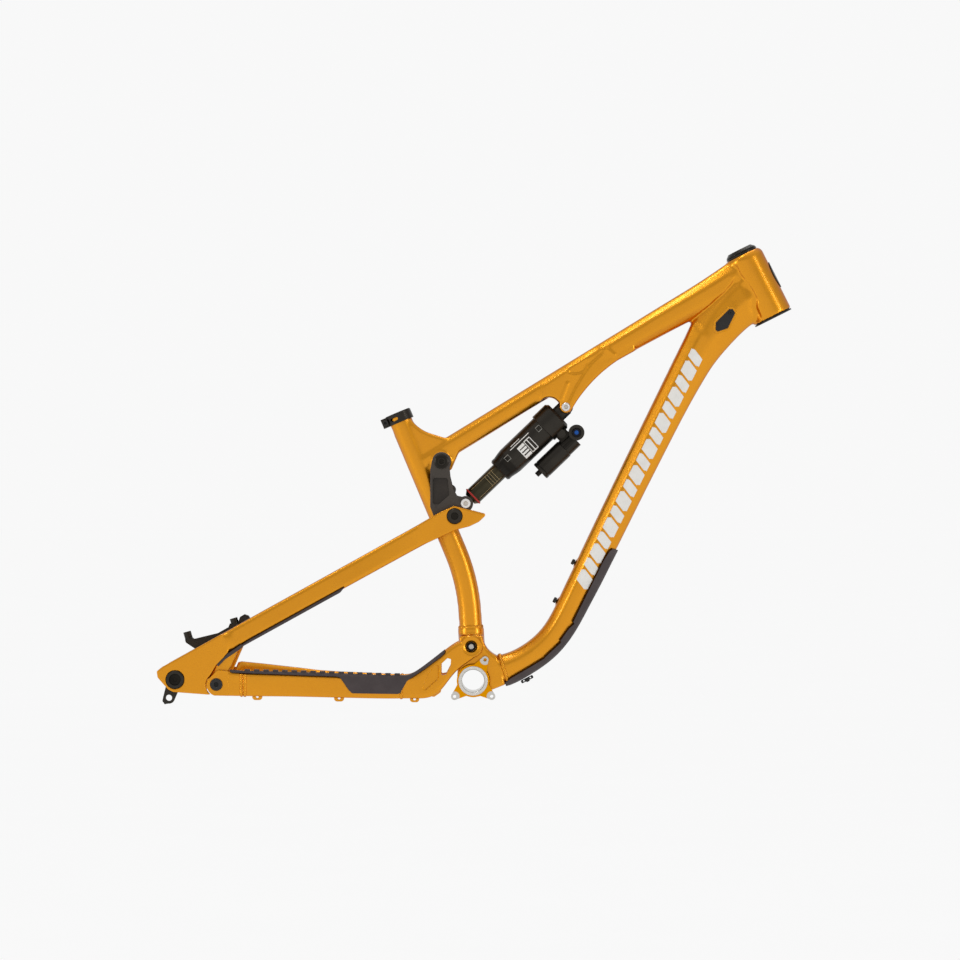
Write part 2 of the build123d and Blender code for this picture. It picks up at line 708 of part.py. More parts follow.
# ------------------------------------------------------------------ down-tube guard and cable clip
with BuildPart() as down_tube_guard:
    lofted(down_tube_lofts, DOWN_TUBE_SHAPE, DOWN_TUBE_CORNER, -GUARD_THICKNESS)
    with BuildSketch(side(60)):
        with BuildLine():
            Polyline(
                (211.5, 199),
                (206.5, 195.5),
                (197.2, 181.5),
                (151.2, 88.5),
                (153, 85.5),
                (145, 78.5),
                (132, 60.5),
                (132.8, 57.5),
                (109.3, 35.5),
                (107.7, 33.2),
                (87.7, 21),
                (58.4, 4),
                (47.5, -4.5),
                (62, -30),
                (170, 20),
                (240, 190),
                close=True,
            )
        make_face()
    extrude(amount=120, mode=Mode.INTERSECT)
    add(down_tube_envelope.part, mode=Mode.SUBTRACT)
    keep_largest(down_tube_guard)
finish_part(down_tube_guard, "down_tube_guard")

CLIP_AT = 27.0
CLIP_R = 170.4 + GUARD_THICKNESS
clip_plane = axis_plane(bend_point(CLIP_AT, CLIP_R), CLIP_AT - 90)
with BuildPart() as cable_clip:
    with BuildSketch(clip_plane):
        Rectangle(20, 4.4, align=(Align.CENTER, Align.MIN))
    extrude(amount=6, both=True)
    fillet(cable_clip.edges().filter_by(Axis.Y), 1.6)
    with BuildSketch(clip_plane):
        for shift in (-5.5, 5.5):
            with Locations((shift, 2.2)):
                Circle(1.3)
    extrude(amount=8, both=True, mode=Mode.SUBTRACT)
    turned(clip_plane, (0, -1), (1.6, -1), (1.6, 6), (0, 6), mode=Mode.SUBTRACT)
finish_part(cable_clip, "cable_clip")

# ------------------------------------------------------------------ cable ports near the head tube
PORT_OUTLINE = (
    (366.4, 540.6),
    (386.2, 560.4),
    (391.6, 560.4),
    (395.2, 554.6),
    (384, 531.7),
    (368.8, 526.8),
    (365.8, 529.4),
)
PORT_SCREW = (388.2, 555.0)
PORT_PROUD_Y = 30.6
PORT_RIM = 3.4
with BuildPart() as cable_port_right:
    with BuildSketch(side(-24)) as port_sketch:
        with BuildLine():
            Polyline(*PORT_OUTLINE, close=True)
        make_face()
        fillet(port_sketch.vertices(), 1.5)
    extrude(amount=PORT_PROUD_Y - 24)
    fillet(cable_port_right.faces().sort_by(Axis.Y)[0].edges(), 0.8)
    add(down_tube_envelope.part, mode=Mode.SUBTRACT)
    slug(PORT_SCREW, 3.1, -40, -PORT_PROUD_Y + 0.8, mode=Mode.SUBTRACT)
    keep_largest(cable_port_right)
with BuildPart() as cable_port_covers:
    add(cable_port_right.part)
    mirror(about=Plane.XZ)
finish_part(cable_port_covers, "cable_port_covers")

with BuildPart() as port_rims:
    with BuildSketch(side(-24)) as rim_sketch:
        with BuildLine():
            Polyline(*PORT_OUTLINE, close=True)
        make_face()
        fillet(rim_sketch.vertices(), 1.5)
        offset(amount=PORT_RIM, kind=Kind.ARC)
        with BuildLine():
            Polyline(*PORT_OUTLINE, close=True)
        make_face(mode=Mode.SUBTRACT)
    extrude(amount=PORT_PROUD_Y - 25.4)
    add(down_tube_envelope.part, mode=Mode.SUBTRACT)
    add(cable_port_right.part, mode=Mode.SUBTRACT)
    slug(PORT_SCREW, 3.1, -40, 0, mode=Mode.SUBTRACT)
    keep_largest(port_rims)
    mirror(about=Plane.XZ)
finish_part(port_rims, "cable_port_rims")

with BuildPart() as cover_screws:
    slug(PORT_SCREW, 3.0, -PORT_PROUD_Y - 0.6, -PORT_PROUD_Y + 0.8)
    with BuildSketch(side(-PORT_PROUD_Y - 0.6)):
        with Locations(PORT_SCREW):
            RegularPolygon(1.4, 6)
    extrude(amount=-0.9, mode=Mode.SUBTRACT)
    mirror(about=Plane.XZ)
    turned(clip_plane, (0, 0.2), (1.6, 0.2), (1.6, 4.4), (3.0, 4.4), (2.6, 6.2), (0, 6.2))
finish_part(cover_screws, "cover_screws")

# ------------------------------------------------------------------ rocker axle and shock upper bolt
CAP_DOME_R = 11.0
with BuildPart() as rocker_axle:
    slug(ROCKER_PIVOT, ROCKER_AXLE_R - RUNNING_FIT, -ROCKER_OUTER + 0.6, ROCKER_OUTER - 0.6)
finish_part(rocker_axle, "rocker_axle")

with BuildPart() as rocker_axle_caps:
    turned(
        across(ROCKER_PIVOT),
        (0, -ROCKER_OUTER + 0.6),
        (ROCKER_AXLE_R + 1.5, -ROCKER_OUTER + 0.6),
        (ROCKER_AXLE_R + 1.5, -ROCKER_OUTER - 0.5),
        (CAP_DOME_R, -ROCKER_OUTER - 0.5),
        (CAP_DOME_R, -ROCKER_OUTER - 1.4),
        (CAP_DOME_R - 2.5, -ROCKER_OUTER - 2.9),
        (4, -ROCKER_OUTER - 3.4),
        (4, -ROCKER_OUTER - 1.6),
        (0, -ROCKER_OUTER - 1.6),
    )
    mirror(about=Plane.XZ)
finish_part(rocker_axle_caps, "rocker_axle_caps")

with BuildPart() as shock_upper_bolt:
    slug(SHOCK_UPPER, SHOCK_BOLT_R - RUNNING_FIT, -BRACKET_OUTER, BRACKET_OUTER + 2)
    turned(
        across(SHOCK_UPPER),
        (0, -BRACKET_OUTER - 1.6),
        (2.6, -BRACKET_OUTER - 1.6),
        (3.2, -BRACKET_OUTER - 3.2),
        (5.6, -BRACKET_OUTER - 3.2),
        (6.6, -BRACKET_OUTER - 2.2),
        (6.6, -BRACKET_OUTER),
        (0, -BRACKET_OUTER),
    )
    turned(
        across(SHOCK_UPPER),
        (0, BRACKET_OUTER),
        (6.6, BRACKET_OUTER),
        (6.6, BRACKET_OUTER + 2.6),
        (5.8, BRACKET_OUTER + 3.4),
        (0, BRACKET_OUTER + 3.4),
    )
finish_part(shock_upper_bolt, "shock_upper_bolt")

# ------------------------------------------------------------------ swingarm
# Stations of the right arm and stay: low and high points, half thickness, middle Y.
STAY_SHAPE = ((0.72, 1), (1, 0.72), (1, -0.72), (0.72, -1))
STAY_CORNER = 3.6
STAY_WALL = 1.8
YOKE_RING_R = 16.6
YOKE_RING_MIDDLE = (YOKE_INNER + YOKE_OUTER) / 2
ARM_STATIONS = (
    ((-107, -25.6), (-107, 6.6), 8.4, -45.6),
    ((-88, -25.8), (-94, 8.4), 8.1, -43.0),
    ((-69, -25.0), (-80, 16.2), 7.6, -39.2),
    ((-54, -18.5), (-66, 26.4), 7.2, -35.8),
    ((-42, -6.0), (-53, 36.4), 6.9, -33.2),
    ((-30, 9.5), (-40, 46.6), 6.75, -31.6),
    ((-14, 24.0), (-27, 55.6), 6.75, -YOKE_RING_MIDDLE),
    ((8.2, 40.8), (-13.8, 62.8), 6.75, -YOKE_RING_MIDDLE),
)
STAY_STATIONS = (
    ((-107, -25.6), (-107, 6.6), 8.4, -45.6),
    ((-139, -25.4), (-139, 7.6), 8.4, -51.6),
    ((-184, -24.2), (-184, 9.4), 8.2, -58.8),
    ((-229, -22.8), (-229, 11.0), 8.0, -65.0),
    ((-273, -21.6), (-273, 12.6), 8.0, -70.0),
    ((-315, -21.0), (-315, 13.8), 8.0, -74.0),
    ((-344, -20.5), (-344, 14.4), 7.6, -76.6),
)
LUG_STATIONS = (
    ((-344, -20.5), (-344, 14.4), 7.6, -76.6),
    ((-356, -20.3), (-356, 16.0), 5.2, -78.8),
    ((-384, -19.8), (-384, 16.6), 4.2, -79.8),
)
LUG_INNER_Y = -75.6
LUG_OUTER_Y = -84.0
STAY_BOLT_R = 5.0
BRIDGE_DEPTH = 15.0

WINDOW = ((-47.8, 8.5), (-47.8, 26), (-38.5, 34.5), (-33.2, 33), (-34.2, 22), (-40.5, 10))
POCKET = ((-51.8, 27), (-51.8, 4), (-77, -18), (-71, 6), (-60, 21))

RING_OUTER_Y = -YOKE_OUTER
RING_INNER_Y = -YOKE_INNER
AXLE_HEAD_R = 7.4

with BuildPart() as arm_core:
    lofted(ARM_STATIONS, STAY_SHAPE, STAY_CORNER, 2.4)

with BuildPart() as pivot_ring:
    turned(
        across(MAIN_PIVOT),
        (PIVOT_AXLE_R, RING_INNER_Y),
        (YOKE_RING_R - 1, RING_INNER_Y),
        (YOKE_RING_R, RING_INNER_Y - 1),
        (YOKE_RING_R, RING_OUTER_Y + 1.4),
        (YOKE_RING_R - 1.4, RING_OUTER_Y),
        (YOKE_RING_R - 3.2, RING_OUTER_Y),
        (AXLE_HEAD_R + 1.6, RING_OUTER_Y + 2.2),
        (AXLE_HEAD_R, RING_OUTER_Y + 3.6),
        (PIVOT_AXLE_R, RING_OUTER_Y + 3.6),
    )

with BuildPart() as yoke:
    lofted(ARM_STATIONS, STAY_SHAPE, STAY_CORNER)
    with BuildSketch(side(-30)) as pocket_sketch:
        with BuildLine():
            Polyline(*POCKET, close=True)
        make_face()
        fillet(pocket_sketch.vertices(), 2.5)
    pocket = extrude(amount=40, mode=Mode.PRIVATE) - arm_core.part
    add(pocket, mode=Mode.SUBTRACT)
    with BuildSketch(side(0)) as window_sketch:
        with BuildLine():
            Polyline(*WINDOW, close=True)
        make_face()
        fillet(window_sketch.vertices(), 1.8)
    extrude(amount=80, mode=Mode.SUBTRACT)
    slug(MAIN_PIVOT, YOKE_RING_R - 2, -60, 0, mode=Mode.SUBTRACT)
    add(pivot_ring.part)
    mirror(about=Plane.XZ)
    with BuildSketch(side(34)):
        with Locations((-58, -14.5)):
            RectangleRounded(17, BRIDGE_DEPTH, 4, rotation=35)
    extrude(amount=68)
finish_part(yoke, "yoke")

with BuildPart() as chainstay_envelope:
    lofted(STAY_STATIONS, STAY_SHAPE, STAY_CORNER)
with BuildPart() as chainstay_right:
    lofted(STAY_STATIONS, STAY_SHAPE, STAY_CORNER)
    lofted(STAY_STATIONS, STAY_SHAPE, STAY_CORNER, STAY_WALL, Mode.SUBTRACT)
finish_part(chainstay_right, "chainstay_right")
with BuildPart() as chainstay_left:
    add(mirror(chainstay_right.part, about=Plane.XZ, mode=Mode.PRIVATE))
finish_part(chainstay_left, "chainstay_left")

# The lug at the rear of each chainstay, round about the stay pivot.
with BuildPart() as stay_lugs:
    lofted(LUG_STATIONS, STAY_SHAPE, 2.6)
    with BuildSketch(side(LUG_INNER_Y)):
        with BuildLine():
            Polyline((-366, -20), (-387, -19.6))
            ThreePointArc((-387, -19.6), (-398.2, -3), (-391.4, 9.2))
            Polyline((-391.4, 9.2), (-381.5, 18.6), (-366, 16.8), (-366, -20))
        make_face()
    extrude(amount=LUG_INNER_Y - LUG_OUTER_Y)
    behind_lug = (
        (-430, -40),
        (-387, -40),
        (-387, -19.6),
        (-391.6, 9.2),
        (-381.5, 18.6),
        (-381.5, 40),
        (-430, 40),
    )
    plate(behind_lug, -90, -84, mode=Mode.SUBTRACT)
    turned(
        across(STAY_PIVOT),
        (0, -90),
        (9.4, -90),
        (9.4, LUG_OUTER_Y + 1.6),
        (STAY_BOLT_R, LUG_OUTER_Y + 1.6),
        (STAY_BOLT_R, -60),
        (0, -60),
        mode=Mode.SUBTRACT,
    )
    add(chainstay_envelope.part, mode=Mode.SUBTRACT)
    keep_largest(stay_lugs)
    mirror(about=Plane.XZ)
finish_part(stay_lugs, "chainstay_lugs")

with BuildPart() as main_pivot_axle:
    turned(
        across(MAIN_PIVOT),
        (0, RING_OUTER_Y + 2.0),
        (3.4, RING_OUTER_Y + 2.0),
        (3.4, RING_OUTER_Y + 0.4),
        (6.2, RING_OUTER_Y + 0.4),
        (7.1, RING_OUTER_Y + 1.2),
        (7.1, RING_OUTER_Y + 3.6),
        (PIVOT_AXLE_R, RING_OUTER_Y + 3.6),
        (PIVOT_AXLE_R, YOKE_OUTER - 3.6),
        (0, YOKE_OUTER - 3.6),
    )
    turned(
        across(MAIN_PIVOT),
        (0, YOKE_OUTER - 3.6),
        (AXLE_HEAD_R, YOKE_OUTER - 3.6),
        (AXLE_HEAD_R, YOKE_OUTER - 1.2),
        (AXLE_HEAD_R - 1, YOKE_OUTER - 0.4),
        (3.4, YOKE_OUTER - 0.4),
        (3.4, YOKE_OUTER - 2),
        (0, YOKE_OUTER - 2),
    )
finish_part(main_pivot_axle, "main_pivot_axle")

# Bolts through the lugs into the seatstay's bearings.
with BuildPart() as stay_pivot_bolts:
    turned(
        across(STAY_PIVOT),
        (0, LUG_OUTER_Y - 1.0),
        (3.0, LUG_OUTER_Y - 1.0),
        (3.6, LUG_OUTER_Y - 2.0),
        (8.0, LUG_OUTER_Y - 2.0),
        (9.0, LUG_OUTER_Y - 1.2),
        (9.0, LUG_OUTER_Y + 1.6),
        (STAY_BOLT_R, LUG_OUTER_Y + 1.6),
        (STAY_BOLT_R, LUG_INNER_Y),
        (STAY_BOLT_R - RUNNING_FIT, LUG_INNER_Y),
        (STAY_BOLT_R - RUNNING_FIT, -66.4),
        (0, -66.4),
    )
    mirror(about=Plane.XZ)
finish_part(stay_pivot_bolts, "stay_pivot_bolts")

# ------------------------------------------------------------------ chainstay guard and cable guides
PAD_THICKNESS = 2.6
RIB_PITCH = 14.0
RIB_COUNT = 17
RIB_LENGTH = 8.0
RIB_HEIGHT = 2.6
RIB_START = -338.0


def between(stations, x):
    """A stay's bottom, top and middle Y at this X, between its nearest two stations."""
    for ahead, behind in zip(stations, stations[1:]):
        if behind[0][0] <= x <= ahead[0][0]:
            share = (ahead[0][0] - x) / (ahead[0][0] - behind[0][0])
            return [
                start + share * (end - start)
                for start, end in (
                    (ahead[0][1], behind[0][1]),
                    (ahead[1][1], behind[1][1]),
                    (ahead[3], behind[3]),
                )
            ]


with BuildPart() as chainstay_guard:
    lofted(STAY_STATIONS, STAY_SHAPE, STAY_CORNER, -PAD_THICKNESS)
    lofted(LUG_STATIONS, STAY_SHAPE, 2.6, -PAD_THICKNESS)
    lofted(ARM_STATIONS[:6], STAY_SHAPE, STAY_CORNER, -PAD_THICKNESS)
    with BuildSketch(side(-20)):
        with BuildLine():
            Polyline(
                (-362, 30),
                (-364, 17.2),
                (-360, 14.8),
                (-296, 12.2),
                (-229, 9.2),
                (-204, 8.2),
                (-199, 6.6),
                (-186, -12.5),
                (-181, -17),
                (-113, -18.6),
                (-109, -17),
                (-99.4, 0.6),
                (-94, 4.8),
                (-71.6, 19.4),
                (-49, 36.2),
                (-42.5, 42.5),
                (-42, 60),
                (-120, 40),
                close=True,
            )
        make_face()
    extrude(amount=80, mode=Mode.INTERSECT)
    add(chainstay_envelope.part, mode=Mode.SUBTRACT)
    add(yoke.part, mode=Mode.SUBTRACT)
    add(stay_lugs.part, mode=Mode.SUBTRACT)
    keep_largest(chainstay_guard)
    for rib in range(RIB_COUNT):
        rib_x = RIB_START + rib * RIB_PITCH
        bottom, top, middle = between(STAY_STATIONS, rib_x)
        with BuildSketch(Plane.XY.offset(top + PAD_THICKNESS - 0.8)):
            with Locations((rib_x, middle)):
                RectangleRounded(RIB_LENGTH, 12, 1.5)
        extrude(amount=RIB_HEIGHT + 0.8)
finish_part(chainstay_guard, "chainstay_guard")

GUIDE_XS = (-323.0, -201.0)
with BuildPart() as cable_guides:
    for guide_x in GUIDE_XS:
        bottom, top, middle = between(STAY_STATIONS, guide_x)
        with BuildSketch(side(middle + 3)) as guide_sketch:
            with Locations((guide_x, bottom - 1.0)):
                SlotOverall(15, 9.6)
                Circle(2.0, mode=Mode.SUBTRACT)
        extrude(guide_sketch.sketch, amount=6)
    with BuildSketch(side(-41)) as front_guide:
        with Locations((-88, -27)):
            SlotOverall(14, 9)
            Circle(2.0, mode=Mode.SUBTRACT)
    extrude(front_guide.sketch, amount=6)
    add(chainstay_envelope.part, mode=Mode.SUBTRACT)
    add(yoke.part, mode=Mode.SUBTRACT)
finish_part(cable_guides, "cable_guides")

# ------------------------------------------------------------------ seatstay assembly
stay_axis = line_frame(LINK_PIVOT, STAY_ANGLE)
SEATSTAY_STATIONS = tuple(
    (stay_axis(along, -below), stay_axis(along, above), half, -middle)
    for along, below, above, half, middle in (
        (-56, 15.6, 15.2, 5.7, 34.3),
        (-85, 15.2, 15.1, 6.0, 35.2),
        (-125, 15.0, 15.1, 6.4, 40.0),
        (-170, 14.8, 15.0, 6.8, 47.0),
        (-220, 14.6, 15.0, 7.0, 54.0),
        (-275, 14.3, 15.0, 7.0, 61.0),
        (-330, 14.0, 15.0, 7.0, 67.8),
        (-375, 13.8, 15.0, 6.6, 73.2),
        (-410, 14.6, 15.0, 5.4, 77.4),
        (-436, 16.0, 14.6, 4.6, 79.0),
    )
)
AXLE_BEARING_R = 8.0
with BuildPart() as seatstay_tube:
    lofted(SEATSTAY_STATIONS, STAY_SHAPE, 3.4)
with BuildPart() as seatstay_blank:
    lofted(SEATSTAY_STATIONS, STAY_SHAPE, 3.4)
    lofted(SEATSTAY_STATIONS[:-3], STAY_SHAPE, 3.4, STAY_WALL, Mode.SUBTRACT)
    with BuildSketch(side(-STAY_FRONT_INNER)) as beak_sketch:
        with BuildLine():
            Polyline(
                stay_axis(-56, 15.2),
                stay_axis(-14, 16.0),
                stay_axis(7, 13.8),
                stay_axis(42, -19.6),
                stay_axis(41, -22.0),
                stay_axis(28, -25.4),
                stay_axis(12, -24.6),
                stay_axis(-10, -18.8),
                stay_axis(-56, -15.6),
                close=True,
            )
        make_face()
        fillet(beak_sketch.vertices().sort_by(Axis.X)[-2:], 1.2)
    extrude(amount=STAY_FRONT_OUTER - STAY_FRONT_INNER)
    with BuildSketch(side(-DROPOUT_INNER)):
        with BuildLine():
            Polyline(
                (-383.8, 26.5),
                (-365.5, 44.4),
                stay_axis(-384, 10),
                stay_axis(-390, 15),
                stay_axis(-492, 15),
                (-473.3, 16.6),
                (-472, 7.4),
                (-456, -10.8),
                (-449, -14.4),
                (-392.4, -18.6),
            )
            ThreePointArc((-392.4, -18.6), (-399.8, -3), (-393.2, 10.2))
            Line((-393.2, 10.2), (-383.8, 26.5))
        make_face()
    extrude(amount=DROPOUT_OUTER - DROPOUT_INNER)
    with BuildSketch(side(-66)) as tab_sketch:
        with BuildLine():
            Polyline(
                (-395, 6),
                (-371.2, 0),
                (-365, 18),
                (-351, 50),
                stay_axis(-400, 6),
                (-408, 30),
                (-408, -2),
                (-395, 6),
            )
        make_face()
        with Locations(STAY_PIVOT):
            Circle(13)
    extrude(tab_sketch.sketch, amount=9)
    slug(STAY_PIVOT, AXLE_BEARING_R, -80, -60, mode=Mode.SUBTRACT)
    slug(REAR_AXLE, AXLE_R, -90, -60, mode=Mode.SUBTRACT)
    slug(LINK_PIVOT, 6.0, -50, -20, mode=Mode.SUBTRACT)
    slug(LINK_PIVOT, 11.3, -50, -36.0, mode=Mode.SUBTRACT)

AXLE_CAP_R = 13.2
AXLE_CAP_SEAT = 80.4
HANGER_INNER = 74.0
HANGER_OUTER = 78.5
HANGER_HOLE = (-455.1, -23.2)
with BuildPart() as hanger:
    with BuildSketch(side(-HANGER_INNER)):
        with Locations(REAR_AXLE):
            Circle(11)
        with Locations(HANGER_HOLE):
            Circle(8.8)
        make_hull()
        with BuildLine():
            Polyline((-463.6, -21), (-449, -30), (-461.5, -33), (-465, -28), close=True)
        make_face()
    extrude(amount=HANGER_OUTER - HANGER_INNER)
with BuildPart() as seatstay_right:
    add(seatstay_blank.part)
    add(hanger.part, mode=Mode.SUBTRACT)
    slug(REAR_AXLE, AXLE_CAP_R, -90, -AXLE_CAP_SEAT, mode=Mode.SUBTRACT)
finish_part(seatstay_right, "seatstay_right")
with BuildPart() as seatstay_left:
    add(mirror(seatstay_blank.part, about=Plane.XZ, mode=Mode.PRIVATE))
finish_part(seatstay_left, "seatstay_left")

with BuildPart() as derailleur_hanger:
    add(hanger.part)
    slug(REAR_AXLE, AXLE_R, -90, -60, mode=Mode.SUBTRACT)
    slug(HANGER_HOLE, 4.6, -90, -60, mode=Mode.SUBTRACT)
finish_part(derailleur_hanger, "derailleur_hanger")

with BuildPart() as rear_axle:
    slug(REAR_AXLE, AXLE_R, -AXLE_CAP_SEAT, DROPOUT_OUTER)
    turned(
        across(REAR_AXLE),
        (0, DROPOUT_OUTER),
        (9.0, DROPOUT_OUTER),
        (9.0, DROPOUT_OUTER + 2.0),
        (7.6, DROPOUT_OUTER + 3.2),
        (0, DROPOUT_OUTER + 3.2),
    )
    slug(REAR_AXLE, 3.4, DROPOUT_OUTER - 4, DROPOUT_OUTER + 4, mode=Mode.SUBTRACT)
finish_part(rear_axle, "rear_axle")

with BuildPart() as rear_axle_cap:
    turned(
        across(REAR_AXLE),
        (0, -AXLE_CAP_SEAT),
        (AXLE_CAP_R, -AXLE_CAP_SEAT),
        (AXLE_CAP_R, -85.6),
        (AXLE_CAP_R - 1.2, -86.6),
        (8.8, -86.6),
        (8.0, -84.2),
        (3.2, -84.2),
        (3.2, -82.0),
        (0, -82.0),
    )
finish_part(rear_axle_cap, "rear_axle_cap")

# Bearings for the stay pivot, pressed into the tabs.
with BuildPart() as stay_pivot_bearings:
    turned(
        across(STAY_PIVOT),
        (STAY_BOLT_R, -74.6),
        (AXLE_BEARING_R, -74.6),
        (AXLE_BEARING_R, -66.4),
        (STAY_BOLT_R, -66.4),
    )
    mirror(about=Plane.XZ)
finish_part(stay_pivot_bearings, "stay_pivot_bearings")

# Bolts at the front of the seatstays. They end flush with the stays, clear of the rocker.
with BuildPart() as link_bolts:
    turned(
        across(LINK_PIVOT),
        (0, -STAY_FRONT_INNER),
        (6.0, -STAY_FRONT_INNER),
        (6.0, -36.0),
        (11.3, -36.0),
        (11.3, -40.6),
        (10.2, -41.6),
        (5.6, -41.6),
        (5.0, -40.4),
        (0, -40.4),
    )
    mirror(about=Plane.XZ)
finish_part(link_bolts, "link_bolts")

BRIDGE_CENTRE = (-121, 194)
with BuildPart() as seatstay_bridge:
    slug(BRIDGE_CENTRE, 5.5, -38, 38)
    add(seatstay_tube.part, mode=Mode.SUBTRACT)
    add(mirror(seatstay_tube.part, about=Plane.XZ, mode=Mode.PRIVATE), mode=Mode.SUBTRACT)
    largest = seatstay_bridge.part.solids().sort_by(Axis.Y)[len(seatstay_bridge.part.solids()) // 2]
    add(largest, mode=Mode.REPLACE)
finish_part(seatstay_bridge, "seatstay_bridge")

# Protector along the underside of the right seatstay, and down the front of its dropout.
STAY_GUARD_THICKNESS = 3.0
with BuildPart() as seatstay_guard:
    lofted(SEATSTAY_STATIONS, STAY_SHAPE, 3.4, -STAY_GUARD_THICKNESS)
    with BuildSketch(side(-20)):
        with BuildLine():
            Polyline(
                stay_axis(-196, -13.0),
                stay_axis(-206, -17.2),
                stay_axis(-356, -16.8),
                stay_axis(-364, -18.4),
                (-371.5, 34.0),
                (-381.0, 24.0),
                (-383.6, 26.6),
                (-367.0, 43.0),
                stay_axis(-356, -13.0),
                close=True,
            )
        make_face()
    extrude(amount=80, mode=Mode.INTERSECT)
    with BuildSketch(side(-76)):
        with BuildLine():
            Polyline(
                stay_axis(-372, -13.0),
                stay_axis(-372, -18.0),
                (-371.5, 34.0),
                (-381.0, 24.0),
                (-383.6, 26.6),
                (-367.0, 43.0),
                close=True,
            )
        make_face()
    extrude(amount=7)
    add(seatstay_blank.part, mode=Mode.SUBTRACT)
    keep_largest(seatstay_guard)
finish_part(seatstay_guard, "seatstay_guard")

# Brake adapter on the left seatstay, with two threaded posts.
POST_ANGLE = 106.3
POST_R = 6.0
POST_BORE_R = 2.5
POST_TOPS = ((-438.4, 70.5), (-367.2, 91.3))
ADAPTER_INNER = 66.0
ADAPTER_OUTER = 78.0
with BuildPart() as brake_adapter:
    with BuildSketch(side(ADAPTER_OUTER)):
        with BuildLine():
            Polyline(
                (-441.2, 58.6),
                (-439.8, 54.0),
                (-425.2, 44.2),
                (-400.0, 50.0),
                (-392.0, 60.6),
                (-340.0, 88.0),
                (-343.6, 95.0),
                (-350.0, 97.4),
                (-356.8, 93.4),
                (-360.2, 84.6),
                (-372.5, 83.0),
                (-374.8, 77.6),
                (-391.0, 68.4),
                (-427.0, 59.6),
                (-430.4, 62.0),
            )
            Line((-430.4, 62.0), (-441.2, 58.6))
        make_face()
    extrude(amount=ADAPTER_OUTER - ADAPTER_INNER)
    for post_top in POST_TOPS:
        with BuildSketch(end_plane(post_top, POST_ANGLE)) as post_section:
            with Locations((0, (ADAPTER_INNER + ADAPTER_OUTER) / 2)):
                Circle(POST_R)
        extrude(post_section.sketch, amount=-13)
    for post_top in POST_TOPS:
        with BuildSketch(end_plane(post_top, POST_ANGLE)) as post_bore:
            with Locations((0, (ADAPTER_INNER + ADAPTER_OUTER) / 2)):
                Circle(POST_BORE_R)
        extrude(post_bore.sketch, amount=-11, mode=Mode.SUBTRACT)
    add(mirror(seatstay_tube.part, about=Plane.XZ, mode=Mode.PRIVATE), mode=Mode.SUBTRACT)
    add(seatstay_left.part, mode=Mode.SUBTRACT)
    slug((-350.0, 91.4), 3.0, 60, 90, mode=Mode.SUBTRACT)
    keep_largest(brake_adapter)
finish_part(brake_adapter, "brake_adapter")

with BuildPart() as adapter_bolt:
    turned(
        across((-350.0, 91.4)),
        (0, ADAPTER_INNER),
        (3.0, ADAPTER_INNER),
        (3.0, ADAPTER_OUTER),
        (5.0, ADAPTER_OUTER),
        (5.0, ADAPTER_OUTER + 3.0),
        (4.2, ADAPTER_OUTER + 3.8),
        (2.2, ADAPTER_OUTER + 3.8),
        (2.2, ADAPTER_OUTER + 1.2),
        (0, ADAPTER_OUTER + 1.2),
    )
finish_part(adapter_bolt, "brake_adapter_bolt")

# ------------------------------------------------------------------ rocker link
ROCKER_OUTLINE = (
    (-61.8, 334),
    (-64.6, 318),
    (-64.8, 262),
    (-59, 247),
    (-40, 236.5),
    (-20, 238),
    (-0.5, 262),
    (-5.5, 277),
    (-17, 277.4),
    (-24.4, 279),
    (-30, 290),
    (-34.4, 308),
    (-35.4, 318),
    (-33.6, 330),
)
ROCKER_BEARING_R = 11.0
LINK_BEARING_R = 9.5
LOWER_BOLT_R = 5.0
LOWER_BOLT_HEAD_R = 7.6
with BuildPart() as rocker_link:
    with BuildSketch(side(-ROCKER_INNER)) as rocker_sketch:
        with BuildLine():
            Polyline(*ROCKER_OUTLINE, close=True)
        make_face()
        fillet(rocker_sketch.vertices(), 3)
        with Locations(ROCKER_PIVOT):
            Circle(14.3)
        with Locations(LINK_PIVOT):
            Circle(13.8)
        with Locations(SHOCK_LOWER):
            Circle(11.3)
    extrude(amount=ROCKER_OUTER - ROCKER_INNER)
    chamfer(rocker_link.faces().sort_by(Axis.Y)[0].edges(), 0.8)
    with BuildSketch(side(-ROCKER_OUTER)) as rocker_pocket:
        with BuildLine():
            Polyline((-60.6, 306), (-60.6, 266), (-52, 266), (-36, 280), (-38.6, 306), close=True)
        make_face()
        fillet(rocker_pocket.vertices(), 4)
    extrude(rocker_pocket.sketch, amount=-1.6, mode=Mode.SUBTRACT)
    slug(ROCKER_PIVOT, ROCKER_BEARING_R, -40, 0, mode=Mode.SUBTRACT)
    slug(LINK_PIVOT, LINK_BEARING_R, -40, 0, mode=Mode.SUBTRACT)
    slug(SHOCK_LOWER, LOWER_BOLT_R, -40, 0, mode=Mode.SUBTRACT)
    slug(SHOCK_LOWER, LOWER_BOLT_HEAD_R, -40, -25, mode=Mode.SUBTRACT)
    mirror(about=Plane.XZ)
    slug((-34, 288), 8, -ROCKER_INNER, ROCKER_INNER)
finish_part(rocker_link, "rocker_link")

with BuildPart() as rocker_bearings:
    turned(
        across(ROCKER_PIVOT),
        (ROCKER_AXLE_R, -27),
        (ROCKER_BEARING_R, -27),
        (ROCKER_BEARING_R, -20.2),
        (ROCKER_AXLE_R, -20.2),
    )
    turned(
        across(LINK_PIVOT),
        (5.0, -27.7),
        (LINK_BEARING_R, -27.7),
        (LINK_BEARING_R, -20.3),
        (5.0, -20.3),
    )
    mirror(about=Plane.XZ)
finish_part(rocker_bearings, "rocker_bearings")

